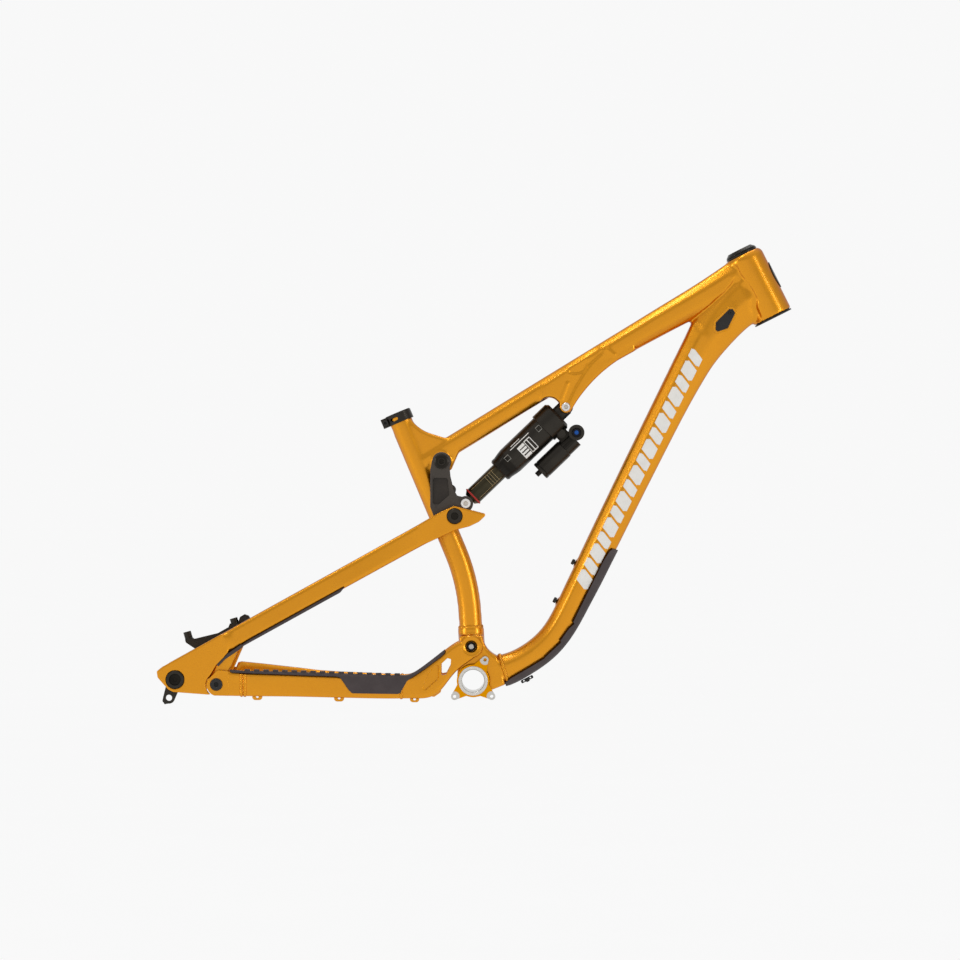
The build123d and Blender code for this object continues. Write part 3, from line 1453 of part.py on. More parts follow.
with BuildPart() as shock_lower_bolts:
    turned(
        across(SHOCK_LOWER),
        (0, -ROCKER_INNER),
        (LOWER_BOLT_R, -ROCKER_INNER),
        (LOWER_BOLT_R, -25),
        (LOWER_BOLT_HEAD_R, -25),
        (LOWER_BOLT_HEAD_R, -27.6),
        (LOWER_BOLT_HEAD_R - 0.7, -28.2),
        (3.4, -28.2),
        (3.0, -26.2),
        (0, -26.2),
    )
    mirror(about=Plane.XZ)
finish_part(shock_lower_bolts, "shock_lower_bolts")

# ------------------------------------------------------------------ shock
SHOCK_ANGLE = 43.89
SHOCK = axis_plane(SHOCK_LOWER, SHOCK_ANGLE)
SHOCK_END = end_plane(SHOCK_LOWER, SHOCK_ANGLE)
shock_axis = line_frame(SHOCK_LOWER, SHOCK_ANGLE)
EYE_R = 11.0
EYE_BORE_R = 7.0
BUSHING_BORE_R = 4.0
CAN_BORE_R = SHOCK_CAN_R - 2
CAN_TOP = 163.0
COLLAR_TOP = 194.0
HEAD_FLOOR = 185.0
PISTON_TOP = 132.0

with BuildPart() as shock_air_can:
    turned(
        SHOCK,
        (SHOCK_BODY_R + SLIDE_GAP, 70.5),
        (17.4, 70.5),
        (19.4, 73),
        (19.4, 79),
        (21.2, 88),
        (SHOCK_CAN_R, 94),
        (SHOCK_CAN_R, CAN_TOP),
        (CAN_BORE_R, CAN_TOP),
        (CAN_BORE_R, 92),
        (17, 84),
        (SHOCK_BODY_R + SLIDE_GAP, 78),
    )
finish_part(shock_air_can, "shock_air_can")

ROD_R = 5.0
DAMPER_BORE_R = 11.5
with BuildPart() as shock_rod:
    turned(
        SHOCK,
        (0, 70),
        (ROD_R, 70),
        (ROD_R, 74),
        (11.2, 74),
        (11.2, 80),
        (ROD_R, 80),
        (ROD_R, HEAD_FLOOR),
        (0, HEAD_FLOOR),
    )
finish_part(shock_rod, "shock_rod")

KNOB_CENTRE = shock_axis(195, -38.9)
with BuildPart() as shock_head:
    turned(
        SHOCK,
        (0, HEAD_FLOOR),
        (CAN_BORE_R, HEAD_FLOOR),
        (CAN_BORE_R, CAN_TOP),
        (SHOCK_COLLAR_R - 0.8, CAN_TOP),
        (SHOCK_COLLAR_R, CAN_TOP + 1),
        (SHOCK_COLLAR_R, COLLAR_TOP - 4),
        (SHOCK_COLLAR_R - 4, COLLAR_TOP),
        (0, COLLAR_TOP),
    )
    with BuildSketch(SHOCK_END.offset(COLLAR_TOP - 1)) as neck:
        RectangleRounded(24, 2 * SHOCK_EYE_HALF, 4)
    extrude(neck.sketch, amount=SHOCK_LENGTH - COLLAR_TOP + 1)
    slug(SHOCK_UPPER, EYE_R, -SHOCK_EYE_HALF, SHOCK_EYE_HALF)
    with BuildSketch(SHOCK_END.offset(168)) as arm:
        with Locations((29, 0)):
            RectangleRounded(30, 20, 4)
    extrude(arm.sketch, amount=19)
    with BuildSketch(SHOCK_END.offset(165)) as cap:
        with Locations((RESERVOIR_OFFSET, 0)):
            Circle(RESERVOIR_R - 1)
    extrude(cap.sketch, amount=22)
    slug(KNOB_CENTRE, 12, -16, 13)
    slug(shock_axis(177.3, -24.6), 6.8, -14, 12)
    turned(
        SHOCK,
        (0, CAN_TOP - 3),
        (CAN_BORE_R, CAN_TOP - 3),
        (CAN_BORE_R, HEAD_FLOOR),
        (0, HEAD_FLOOR),
        mode=Mode.SUBTRACT,
    )
    slug(SHOCK_UPPER, EYE_BORE_R, -20, 20, mode=Mode.SUBTRACT)
    turned(
        across(KNOB_CENTRE),
        (0, -20),
        (7.2, -20),
        (7.2, -12),
        (3.0 + RUNNING_FIT, -12),
        (3.0 + RUNNING_FIT, -8),
        (0, -8),
        mode=Mode.SUBTRACT,
    )
finish_part(shock_head, "shock_head")

with BuildPart() as shock_reservoir:
    turned(
        Plane(
            origin=SHOCK.from_local_coords((RESERVOIR_OFFSET, 0, 0)),
            x_dir=SHOCK.x_dir,
            z_dir=SHOCK.z_dir,
        ),
        (0, 107),
        (3.4, 107),
        (4.0, 107.6),
        (4.0, 114.5),
        (RESERVOIR_R - 1.0, 114.5),
        (RESERVOIR_R, 115.5),
        (RESERVOIR_R, 119.0),
        (RESERVOIR_R - 0.5, 119.6),
        (RESERVOIR_R - 0.5, 120.6),
        (RESERVOIR_R, 121.2),
        (RESERVOIR_R, 164.2),
        (RESERVOIR_R - 0.8, 165),
        (0, 165),
    )
finish_part(shock_reservoir, "shock_reservoir")

with BuildPart() as compression_knob:
    turned(
        across(KNOB_CENTRE),
        (0, -18.6),
        (2.6, -18.6),
        (2.6, -17.4),
        (5.4, -17.4),
        (6.6, -16.4),
        (6.6, -12.4),
        (3.0, -12.4),
        (3.0, -8.4),
        (0, -8.4),
    )
finish_part(compression_knob, "compression_knob")

with BuildPart() as upper_bushing:
    turned(
        across(SHOCK_UPPER),
        (BUSHING_BORE_R, -12.2),
        (6.4, -12.2),
        (EYE_BORE_R, -11.6),
        (EYE_BORE_R, 11.6),
        (6.4, 12.2),
        (BUSHING_BORE_R, 12.2),
    )
finish_part(upper_bushing, "shock_upper_bushing")

with BuildPart() as shock_damper:
    turned(
        SHOCK,
        (0, 9),
        (9.6, 9),
        (12.4, 12.6),
        (SHOCK_BODY_R, 14),
        (SHOCK_BODY_R, PISTON_TOP - 12),
        (CAN_BORE_R - SLIDE_GAP, PISTON_TOP - 12),
        (CAN_BORE_R - SLIDE_GAP, PISTON_TOP),
        (ROD_R + SLIDE_GAP, PISTON_TOP),
        (ROD_R + SLIDE_GAP, PISTON_TOP - 10),
        (DAMPER_BORE_R, PISTON_TOP - 10),
        (DAMPER_BORE_R, 19),
        (0, 19),
    )
    slug(SHOCK_LOWER, 11.3, -SHOCK_EYE_HALF, SHOCK_EYE_HALF)
    slug(SHOCK_LOWER, EYE_BORE_R, -20, 20, mode=Mode.SUBTRACT)
finish_part(shock_damper, "shock_damper")

with BuildPart() as lower_bushing:
    turned(
        across(SHOCK_LOWER),
        (0, -19.4),
        (6.2, -19.4),
        (EYE_BORE_R, -18.6),
        (EYE_BORE_R, 18.6),
        (6.2, 19.4),
        (0, 19.4),
    )
finish_part(lower_bushing, "shock_lower_bushing")

with BuildPart() as travel_ring:
    turned(
        SHOCK,
        (SHOCK_BODY_R, 14.4),
        (14.6, 14.4),
        (15.0, 15.0),
        (15.0, 16.4),
        (14.6, 17.0),
        (SHOCK_BODY_R, 17.0),
    )
finish_part(travel_ring, "travel_ring")
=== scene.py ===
"""Looks for a full-suspension bicycle frame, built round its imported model.

All lengths are in metres, unless a name or a comment says millimetres."""

import json
import math
import bmesh
import bpy
import numpy as np
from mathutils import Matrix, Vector
from mathutils.bvhtree import BVHTree


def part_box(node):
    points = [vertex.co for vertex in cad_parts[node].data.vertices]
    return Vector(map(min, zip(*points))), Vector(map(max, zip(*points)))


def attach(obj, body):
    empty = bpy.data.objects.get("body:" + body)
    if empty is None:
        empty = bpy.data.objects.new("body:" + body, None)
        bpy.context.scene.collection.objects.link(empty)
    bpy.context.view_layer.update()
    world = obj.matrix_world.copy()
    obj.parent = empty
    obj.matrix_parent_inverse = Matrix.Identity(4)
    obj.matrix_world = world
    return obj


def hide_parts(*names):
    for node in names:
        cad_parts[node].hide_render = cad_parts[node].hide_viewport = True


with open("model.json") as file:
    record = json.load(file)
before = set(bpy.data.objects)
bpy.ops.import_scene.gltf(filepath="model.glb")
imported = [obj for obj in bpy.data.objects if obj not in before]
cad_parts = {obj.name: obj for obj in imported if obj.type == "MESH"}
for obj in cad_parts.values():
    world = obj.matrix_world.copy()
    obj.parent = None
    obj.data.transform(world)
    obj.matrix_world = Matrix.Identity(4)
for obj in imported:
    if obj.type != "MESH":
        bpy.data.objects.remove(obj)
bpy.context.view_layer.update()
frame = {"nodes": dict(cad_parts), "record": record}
MM = 0.001
NODES = frame["nodes"]

# The camera comes first. The photograph's view is square on to the drive side.
CAMERA_DISTANCE = 6.5
CAMERA_X = 0.0104
CAMERA_Z = 0.3028
VIEW_WIDTH = 1.4544
SENSOR = 36.0
CLIP_END = 60
camera_data = bpy.data.cameras.new("camera")
camera_data.sensor_width = SENSOR
camera_data.lens = SENSOR * CAMERA_DISTANCE / VIEW_WIDTH
camera_data.clip_end = CLIP_END
camera = bpy.data.objects.new("camera", camera_data)
camera.location = (CAMERA_X, -CAMERA_DISTANCE, CAMERA_Z)
camera.rotation_euler = (math.radians(90), 0, 0)
bpy.context.scene.collection.objects.link(camera)
bpy.context.scene.camera = camera
bpy.context.scene.view_settings.view_transform = "Standard"


# ------------------------------------------------------------------ materials
class Graph:
    """A small helper for one material's nodes."""

    def __init__(self, name):
        self.material = bpy.data.materials.new(name)
        self.material.use_nodes = True
        self.tree = self.material.node_tree
        self.shader = self.tree.nodes["Principled BSDF"]
        self.coords = self.tree.nodes.new("ShaderNodeTexCoord").outputs["Object"]

    def link(self, source, target):
        self.tree.links.new(source, target)

    def noise(self, scale, detail=3.0, stretch=None):
        node = self.tree.nodes.new("ShaderNodeTexNoise")
        node.inputs["Scale"].default_value = scale
        node.inputs["Detail"].default_value = detail
        source = self.coords
        if stretch:
            mapping = self.tree.nodes.new("ShaderNodeMapping")
            mapping.inputs["Scale"].default_value = stretch
            self.link(source, mapping.inputs["Vector"])
            source = mapping.outputs["Vector"]
        self.link(source, node.inputs["Vector"])
        return node.outputs["Fac"]

    def cells(self, scale):
        node = self.tree.nodes.new("ShaderNodeTexVoronoi")
        node.inputs["Scale"].default_value = scale
        self.link(self.coords, node.inputs["Vector"])
        return node.outputs["Color"]

    def ranged(self, value, low, high, from_low=0.3, from_high=0.7):
        node = self.tree.nodes.new("ShaderNodeMapRange")
        node.inputs["From Min"].default_value = from_low
        node.inputs["From Max"].default_value = from_high
        node.inputs["To Min"].default_value = low
        node.inputs["To Max"].default_value = high
        self.link(value, node.inputs["Value"])
        return node.outputs["Result"]

    def mixed(self, factor, first, second):
        node = self.tree.nodes.new("ShaderNodeMix")
        node.data_type = "RGBA"
        for socket, value in ((node.inputs[6], first), (node.inputs[7], second)):
            if isinstance(value, tuple):
                socket.default_value = (*value, 1)
            else:
                self.link(value, socket)
        if isinstance(factor, float):
            node.inputs[0].default_value = factor
        else:
            self.link(factor, node.inputs[0])
        return node.outputs[2]

    def bump(self, height, strength, distance, normal=None):
        node = self.tree.nodes.new("ShaderNodeBump")
        node.inputs["Strength"].default_value = strength
        node.inputs["Distance"].default_value = distance
        self.link(height, node.inputs["Height"])
        if normal:
            self.link(normal, node.inputs["Normal"])
        return node.outputs["Normal"]

    def rounded(self, radius):
        node = self.tree.nodes.new("ShaderNodeBevel")
        node.samples = 4
        node.inputs["Radius"].default_value = radius
        return node.outputs["Normal"]

    def edges(self, low=0.5, high=0.56):
        node = self.tree.nodes.new("ShaderNodeNewGeometry")
        return self.ranged(node.outputs["Pointiness"], 0.0, 1.0, low, high)

    def near(self, points, radius, soft):
        """1 close to any of these points, 0 further than radius."""
        result = None
        for point in points:
            node = self.tree.nodes.new("ShaderNodeVectorMath")
            node.operation = "DISTANCE"
            node.inputs[1].default_value = point
            self.link(self.coords, node.inputs[0])
            here = self.ranged(node.outputs["Value"], 1.0, 0.0, radius - soft, radius + soft)
            if result is None:
                result = here
            else:
                joined = self.tree.nodes.new("ShaderNodeMath")
                joined.operation = "MAXIMUM"
                self.link(result, joined.inputs[0])
                self.link(here, joined.inputs[1])
                result = joined.outputs[0]
        return result

    def set(self, **values):
        for key, value in values.items():
            socket = self.shader.inputs[key.replace("_", " ")]
            if isinstance(value, tuple):
                socket.default_value = (*value, 1)
            elif isinstance(value, (int, float)):
                socket.default_value = value
            else:
                self.link(value, socket)
        return self.material


PAINT_DEEP = (0.65, 0.238, 0.0)
PAINT_LIGHT = (0.75, 0.297, 0.0)
PAINT_FLAKE = (0.85, 0.44, 0.01)


def paint_colour(graph):
    """Golden metallic paint: a slow drift of tone, and fine flakes."""
    drift = graph.mixed(graph.noise(7.0, 2.0), PAINT_DEEP, PAINT_LIGHT)
    flakes = graph.ranged(graph.cells(1700.0), 0.0, 0.22, 0.2, 1.0)
    return graph.mixed(flakes, drift, PAINT_FLAKE)


def paint(name="golden_paint", rounding=0.0):
    graph = Graph(name)
    peel = graph.noise(420.0, 1.0)
    normal = graph.rounded(rounding) if rounding else None
    return graph.set(
        Base_Color=paint_colour(graph),
        Metallic=1.0,
        Specular_Tint=(0.36, 0.21, 0.05),
        Roughness=graph.ranged(graph.noise(60.0), 0.27, 0.35),
        Coat_Weight=0.50,
        Coat_Roughness=0.20,
        Normal=graph.bump(peel, 0.05, 0.0004, normal),
    )


def anodised(name, dark, light, roughness, metallic=0.85, grain=900.0, rounding=0.0006):
    """Anodised or plated metal, with a fine grain and sharp convex edges tinted lighter."""
    graph = Graph(name)
    tone = graph.mixed(graph.ranged(graph.noise(40.0), 0.0, 1.0), dark, light)
    # Sharp convex edges are mixed up to 45 percent towards a colour 2.2 times the light tone.
    edge_tone = tuple(min(1.0, 2.2 * value + 0.02) for value in light)
    colour = graph.mixed(graph.ranged(graph.edges(), 0.0, 0.45, 0.0, 1.0), tone, edge_tone)
    return graph.set(
        Base_Color=colour,
        Metallic=metallic,
        Roughness=graph.ranged(graph.noise(130.0), roughness - 0.05, roughness + 0.07),
        Normal=graph.bump(graph.noise(grain, 2.0), 0.12, 0.0002, graph.rounded(rounding)),
    )


def rubber(name, dark, light, grain=650.0):
    graph = Graph(name)
    dust = graph.mixed(graph.ranged(graph.noise(25.0, 5.0), 0.0, 1.0), dark, light)
    return graph.set(
        Base_Color=dust,
        Roughness=graph.ranged(graph.noise(90.0), 0.55, 0.72),
        Specular_IOR_Level=0.4,
        Normal=graph.bump(graph.noise(grain, 4.0), 0.35, 0.0004, graph.rounded(0.0009)),
    )


def machined(name, dark, light, roughness):
    """Bare turned aluminium: fine rings left by the tool show as streaks."""
    graph = Graph(name)
    streak = graph.noise(600.0, 2.0, (1.0, 6.0, 1.0))
    return graph.set(
        Base_Color=graph.mixed(graph.ranged(streak, 0.0, 1.0), dark, light),
        Metallic=0.95,
        Roughness=graph.ranged(graph.noise(200.0), roughness, roughness + 0.12),
        Normal=graph.bump(streak, 0.2, 0.0002, graph.rounded(0.0006)),
    )


TAB_BARE_R = 0.0080
KNOB_RING_R = 0.0034
PIVOT_SOCKET_R = 0.0038


def tabs_material():
    """Painted tabs whose faces are bare round their threaded holes."""
    graph = Graph("tab_faces")
    mounts = frame["record"]["mounts"]
    tabs = [tuple(m["pos_m"]) for m in mounts if m["name"].startswith("chain_guide_tab")]
    bare = graph.near(tabs, TAB_BARE_R, 0.0004)
    colour = graph.mixed(bare, paint_colour(graph), (0.60, 0.58, 0.54))
    return graph.set(
        Base_Color=colour,
        Metallic=1.0,
        Roughness=graph.ranged(bare, 0.30, 0.40, 0.0, 1.0),
        Normal=graph.bump(graph.noise(500.0), 0.1, 0.0002, graph.rounded(0.0006)),
    )


def knob_material():
    """A black knob with a blue disc in its outer face."""
    graph = Graph("knob_blue_ring")
    low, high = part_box("compression_knob")
    centre = tuple(
        low[axis] if axis == 1 else (low[axis] + high[axis]) / 2 for axis in range(3)
    )
    ring = graph.near([centre], KNOB_RING_R, 0.0003)
    return graph.set(
        Base_Color=graph.mixed(ring, (0.010, 0.010, 0.012), (0.015, 0.085, 0.34)),
        Metallic=0.85,
        Roughness=graph.ranged(graph.noise(300.0), 0.24, 0.34),
        Normal=graph.bump(graph.noise(900.0), 0.1, 0.0002, graph.rounded(0.0005)),
    )


def cored_material(name, node, radius, core, rim):
    """A bolt whose socket shows another colour than its head."""
    graph = Graph(name)
    low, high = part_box(node)
    ends = [((low[0] + high[0]) / 2, y, (low[2] + high[2]) / 2) for y in (low[1], high[1])]
    socket = graph.near(ends, radius, 0.0002)
    return graph.set(
        Base_Color=graph.mixed(socket, rim, core),
        Metallic=0.9,
        Roughness=graph.ranged(graph.noise(300.0), 0.24, 0.36),
        Normal=graph.bump(graph.noise(900.0), 0.1, 0.0002, graph.rounded(0.0005)),
    )


def film(name, dark, light):
    """A printed film under clear lacquer, with a pearl drift."""
    graph = Graph(name)
    return graph.set(
        Base_Color=graph.mixed(graph.noise(90.0, 4.0), dark, light),
        Roughness=graph.ranged(graph.noise(260.0), 0.30, 0.42),
        Coat_Weight=0.6,
        Coat_Roughness=0.1,
    )


GOLD = paint()
GOLD_CAD = paint("golden_paint_edges", 0.0012)
BLACK = anodised("black_anodised", (0.007, 0.006, 0.005), (0.017, 0.014, 0.010), 0.30)
BLACK_SOFT = anodised("black_hardware", (0.005, 0.005, 0.005), (0.014, 0.013, 0.012), 0.26, 0.7)
ROCKER_GREY = anodised("rocker_grey", (0.020, 0.016, 0.013), (0.036, 0.029, 0.023), 0.47, 0.6)
STEEL = anodised("ground_steel", (0.35, 0.35, 0.35), (0.5, 0.5, 0.5), 0.3, 1.0)
SILVER = anodised("bolt_plating", (0.42, 0.38, 0.33), (0.60, 0.55, 0.49), 0.24, 1.0)
KASHIMA = anodised("damper_anodised", (0.030, 0.026, 0.015), (0.055, 0.046, 0.026), 0.22, 0.9)
RED = rubber("red_ring", (0.38, 0.015, 0.012), (0.5, 0.03, 0.02))
GUARD = rubber("guard_rubber", (0.036, 0.026, 0.027), (0.058, 0.043, 0.043))
COVER = rubber("cover_rubber", (0.004, 0.0035, 0.0035), (0.012, 0.010, 0.009), 900.0)
BARE = machined("bare_aluminium", (0.56, 0.54, 0.50), (0.72, 0.70, 0.66), 0.22)
TABS = tabs_material()
BLUE = knob_material()
WHITE_FILM = film("pearl_film", (0.66, 0.64, 0.60), (0.80, 0.78, 0.74))
DARK_FILM = film("grey_film", (0.16, 0.15, 0.13), (0.24, 0.23, 0.20))
GOLD_LINE = film("gold_line", (0.28, 0.20, 0.08), (0.40, 0.30, 0.13))

BY_SLOT = {
    "frame_paint": GOLD_CAD,
    "bare_alloy": BARE,
    "black_anodised": BLACK,
    "rocker_alloy": ROCKER_GREY,
    "badge": BLACK,
    "rubber": GUARD,
    "steel": STEEL,
    "black_hardware": BLACK_SOFT,
    "bolt_silver": SILVER,
    "ring_red": RED,
    "knob_blue": BLUE,
}
SPECIAL = {
    "chain_guide_tabs": TABS,
    "cable_port_covers": COVER,
    "cable_clip": COVER,
    "shock_damper": KASHIMA,
    "main_pivot_axle": cored_material(
        "pivot_bolt", "main_pivot_axle", PIVOT_SOCKET_R, (0.50, 0.47, 0.42), (0.008, 0.008, 0.008)
    ),
}
WELD_DISTANCE = 2e-6
CREASE_DEGREES = 32


def shade_smooth(mesh):
    for polygon in mesh.polygons:
        polygon.use_smooth = True


for part in frame["record"]["subparts"]:
    node = NODES[part["node"]]
    material = SPECIAL.get(part["node"], BY_SLOT[part["material_slot"]])
    node.data.materials.clear()
    node.data.materials.append(material)
    shade_smooth(node.data)
    weld = node.modifiers.new("weld", "WELD")
    weld.merge_threshold = WELD_DISTANCE
    split = node.modifiers.new("split", "EDGE_SPLIT")
    split.split_angle = math.radians(CREASE_DEGREES)
    split.use_edge_sharp = False


# ------------------------------------------------------------------ mesh helpers
def new_object(name, mesh, material, body):
    """Links a finished mesh as a piece that rides on a body."""
    piece = bpy.data.objects.new(name, mesh)
    bpy.context.scene.collection.objects.link(piece)
    mesh.materials.clear()
    mesh.materials.append(material)
    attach(piece, body)
    return piece


def finished(form, name):
    """Turns a bmesh into a mesh and frees it."""
    mesh = bpy.data.meshes.new(name)
    form.to_mesh(mesh)
    form.free()
    return mesh


def welded(node):
    """A bmesh copy of a CAD node with its shared corners joined."""
    copy = bmesh.new()
    copy.from_mesh(NODES[node].data)
    bmesh.ops.remove_doubles(copy, verts=copy.verts, dist=WELD_DISTANCE)
    return copy


def section_loop(node, point, normal):
    """The outline of a node where a plane cuts it, as ordered points: the longest loop.

    The cut edges are kept in order, so the loop starts at the same corner in every run."""
    cut = welded(node)
    geometry = cut.verts[:] + cut.edges[:] + cut.faces[:]
    made = bmesh.ops.bisect_plane(cut, geom=geometry, plane_co=point, plane_no=normal)["geom_cut"]
    edges = dict.fromkeys(item for item in made if isinstance(item, bmesh.types.BMEdge))
    loops = []
    while edges:
        edge = next(iter(edges))
        del edges[edge]
        loop = [edge.verts[0], edge.verts[1]]
        grown = True
        while grown:
            grown = False
            for following in loop[-1].link_edges:
                if following in edges:
                    del edges[following]
                    loop.append(following.other_vert(loop[-1]))
                    grown = True
                    break
        loops.append([vert.co.copy() for vert in loop])
    cut.free()
    return max(loops, key=lambda loop: sum((b - a).length for a, b in zip(loop, loop[1:])))


def resampled(points, step):
    """Evenly spaced points along a closed line."""
    closed = points + [points[0]]
    total = sum((b - a).length for a, b in zip(closed, closed[1:]))
    count = max(8, round(total / step))
    result, walked, index = [], 0.0, 0
    for number in range(count):
        target = total * number / count
        while walked + (closed[index + 1] - closed[index]).length < target:
            walked += (closed[index + 1] - closed[index]).length
            index += 1
        share = (target - walked) / max((closed[index + 1] - closed[index]).length, 1e-9)
        result.append(closed[index].lerp(closed[index + 1], share))
    return result


BEAD_STEP = 0.0007
BEAD_PITCH = 0.0029
BEAD_SIDES = 10
BEAD_SUNK = 0.55
BEAD_LEAST = 0.86
BEAD_GROWTH = 0.26
NO_TUBE_WAY = Vector((0.31, 0.67, 0.67))


def weld_bead(target, points, radius):
    """Adds a closed bead of overlapping scales along a loop."""
    line = resampled(points, BEAD_STEP)
    middle = sum(line, Vector()) / len(line)
    line = [point + BEAD_SUNK * radius * (middle - point).normalized() for point in line]
    rings = []
    for number, centre in enumerate(line):
        ahead = line[(number + 1) % len(line)]
        behind = line[number - 1]
        along = (ahead - behind).normalized()
        side = along.cross(NO_TUBE_WAY).normalized()
        up = along.cross(side).normalized()
        phase = (number * BEAD_STEP / BEAD_PITCH) % 1.0
        size = radius * (BEAD_LEAST + BEAD_GROWTH * phase * (2 - phase))
        rings.append(
            [
                target.verts.new(
                    centre
                    + size * math.cos(math.tau * turn / BEAD_SIDES) * side
                    + size * math.sin(math.tau * turn / BEAD_SIDES) * up
                )
                for turn in range(BEAD_SIDES)
            ]
        )
    for number, ring in enumerate(rings):
        following = rings[(number + 1) % len(rings)]
        for turn in range(BEAD_SIDES):
            beside = (turn + 1) % BEAD_SIDES
            target.faces.new((ring[turn], ring[beside], following[beside], following[turn]))


def evaluated_mesh(piece):
    """A piece's mesh with its modifiers applied."""
    depsgraph = bpy.context.evaluated_depsgraph_get()
    return bpy.data.meshes.new_from_object(piece.evaluated_get(depsgraph))


def modified(mesh, modifiers):
    """A mesh after these modifiers, each (type, {setting: value})."""
    holder = bpy.data.objects.new("holder", mesh)
    bpy.context.scene.collection.objects.link(holder)
    for kind, settings in modifiers:
        modifier = holder.modifiers.new(kind.lower(), kind)
        for key, value in settings.items():
            setattr(modifier, key, value)
    result = evaluated_mesh(holder)
    bpy.data.objects.remove(holder)
    return result


def largest_shell(mesh):
    """Keeps only the shell with the most corners, which drops the cavities inside a mesh."""
    whole = bmesh.new()
    whole.from_mesh(mesh)
    unseen = set(whole.verts)
    shells = []
    while unseen:
        stack = [unseen.pop()]
        shell = []
        while stack:
            vert = stack.pop()
            shell.append(vert)
            for edge in vert.link_edges:
                other = edge.other_vert(vert)
                if other in unseen:
                    unseen.discard(other)
                    stack.append(other)
        shells.append(shell)
    largest = max(shells, key=len)
    dropped = [vert for shell in shells if shell is not largest for vert in shell]
    bmesh.ops.delete(whole, geom=dropped, context="VERTS")
    whole.to_mesh(mesh)
    whole.free()
    return mesh


def skin(name, nodes, voxel, final_voxel, smoothing, body):
    """One smooth welded skin over several CAD nodes, which it replaces."""
    joined = bmesh.new()
    for node in nodes:
        carrier = finished(welded(node), "carrier")
        joined.from_mesh(carrier)
        bpy.data.meshes.remove(carrier)
    mesh = finished(joined, name)
    mesh = modified(mesh, [("REMESH", {"mode": "VOXEL", "voxel_size": voxel})])
    mesh = largest_shell(mesh)
    steps = []
    if final_voxel:
        steps.append(("REMESH", {"mode": "VOXEL", "voxel_size": final_voxel}))
    steps.append(("SMOOTH", {"factor": 0.5, "iterations": smoothing}))
    mesh = modified(mesh, steps)
    mesh.name = name
    shade_smooth(mesh)
    piece = new_object(name, mesh, GOLD, body)
    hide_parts(*nodes)
    return piece


def smooth_step(value):
    """0 below 0, 1 above 1, and smooth between."""
    value = np.clip(value, 0.0, 1.0)
    return value * value * (3 - 2 * value)


def to_line(x, z, line):
    """Distance to a line in the side view, the side it is on (1 to its right), and where along it."""
    best = np.full(x.shape, 1e9)
    side = np.zeros(x.shape)
    along = np.zeros(x.shape)
    lengths = [math.dist(a, b) for a, b in zip(line, line[1:])]
    total = sum(lengths)
    walked = 0.0
    for (ax, az), (bx, bz), length in zip(line, line[1:], lengths):
        dx, dz = (bx - ax) / length, (bz - az) / length
        reach = np.clip((x - ax) * dx + (z - az) * dz, 0.0, length)
        gap = np.hypot(x - ax - reach * dx, z - az - reach * dz)
        nearer = gap < best
        best = np.where(nearer, gap, best)
        side = np.where(nearer, np.sign((x - ax) * dz - (z - az) * dx), side)
        along = np.where(nearer, (walked + reach) / total, along)
        walked += length
    return best, side, along


FACING_FROM = 0.35
FACING_SPAN = 0.4


def read_vectors(vertices, attribute):
    """One row of three numbers for each vertex."""
    values = np.empty(len(vertices) * 3)
    vertices.foreach_get(attribute, values)
    return values.reshape(-1, 3)


def relief(mesh, line, depth, crisp, reach, ends=0.12, ridge=False):
    """Sinks the side faces of a mesh to the right of a line, or raises a ridge along it.

    Line, depth, crisp and reach are in millimetres. The face sinks by depth over crisp. It comes back
    at reach from the line, and over the share ends at each end of the line."""
    places = read_vectors(mesh.vertices, "co")
    normals = read_vectors(mesh.vertices, "normal")
    line_m = [(px * MM, pz * MM) for px, pz in line]
    gap, side, along = to_line(places[:, 0], places[:, 2], line_m)
    gap = gap / MM
    if ridge:
        amount = -np.exp(-((gap / crisp) ** 2))
    else:
        amount = np.where(side > 0, smooth_step(gap / crisp) * (1 - smooth_step(gap / reach)), 0.0)
    amount = amount * smooth_step(along / ends) * smooth_step((1 - along) / ends)
    facing = smooth_step((np.abs(normals[:, 1]) - FACING_FROM) / FACING_SPAN)
    places[:, 1] -= np.sign(places[:, 1]) * depth * MM * amount * facing
    mesh.vertices.foreach_set("co", places.reshape(-1))
    mesh.update()


def ease(mesh, line, width, passes, outline=False):
    """Smooths a mesh within width of a line, both in millimetres.

    It moves in depth alone, unless its outline in the side view may move too."""
    form = bmesh.new()
    form.from_mesh(mesh)
    line_m = [(px * MM, pz * MM) for px, pz in line]
    places = np.array([vert.co for vert in form.verts])
    gap, _, _ = to_line(places[:, 0], places[:, 2], line_m)
    chosen = [vert for vert, near in zip(form.verts, gap < width * MM) if near]
    for _ in range(passes):
        bmesh.ops.smooth_vert(
            form, verts=chosen, factor=0.5, use_axis_x=outline, use_axis_y=True, use_axis_z=outline
        )
    form.to_mesh(mesh)
    form.free()
    mesh.update()


# ------------------------------------------------------------------ painted skins
def side_direction(degrees):
    return Vector((math.cos(math.radians(degrees)), 0, math.sin(math.radians(degrees))))


FRONT_NODES = (
    "head_tube",
    "down_tube",
    "top_tube",
    "seat_tube",
    "seat_tube_gusset",
    "pivot_housing",
    "shock_bracket",
    "bottle_bosses",
)
SEAT_TAIL = Vector((-0.004, 0, 0.0800))
SEAT_TAIL_DEGREES = 93.5
DOWN_START = Vector((0.0465, 0, 0.0166))
DOWN_START_DEGREES = 17.5
FRONT_VOXEL = 0.0015
FRONT_FINAL_VOXEL = 0.0018
FRONT_SMOOTHING = 5
STAY_VOXEL = 0.0011
STAY_SMOOTHING = 9
front_skin = skin(
    "front_skin", FRONT_NODES, FRONT_VOXEL, FRONT_FINAL_VOXEL, FRONT_SMOOTHING, "front_triangle"
)
right_skin = skin(
    "seatstay_skin_right", ("seatstay_right",), STAY_VOXEL, None, STAY_SMOOTHING, "seatstay"
)
left_skin = skin(
    "seatstay_skin_left", ("seatstay_left",), STAY_VOXEL, None, STAY_SMOOTHING, "seatstay"
)

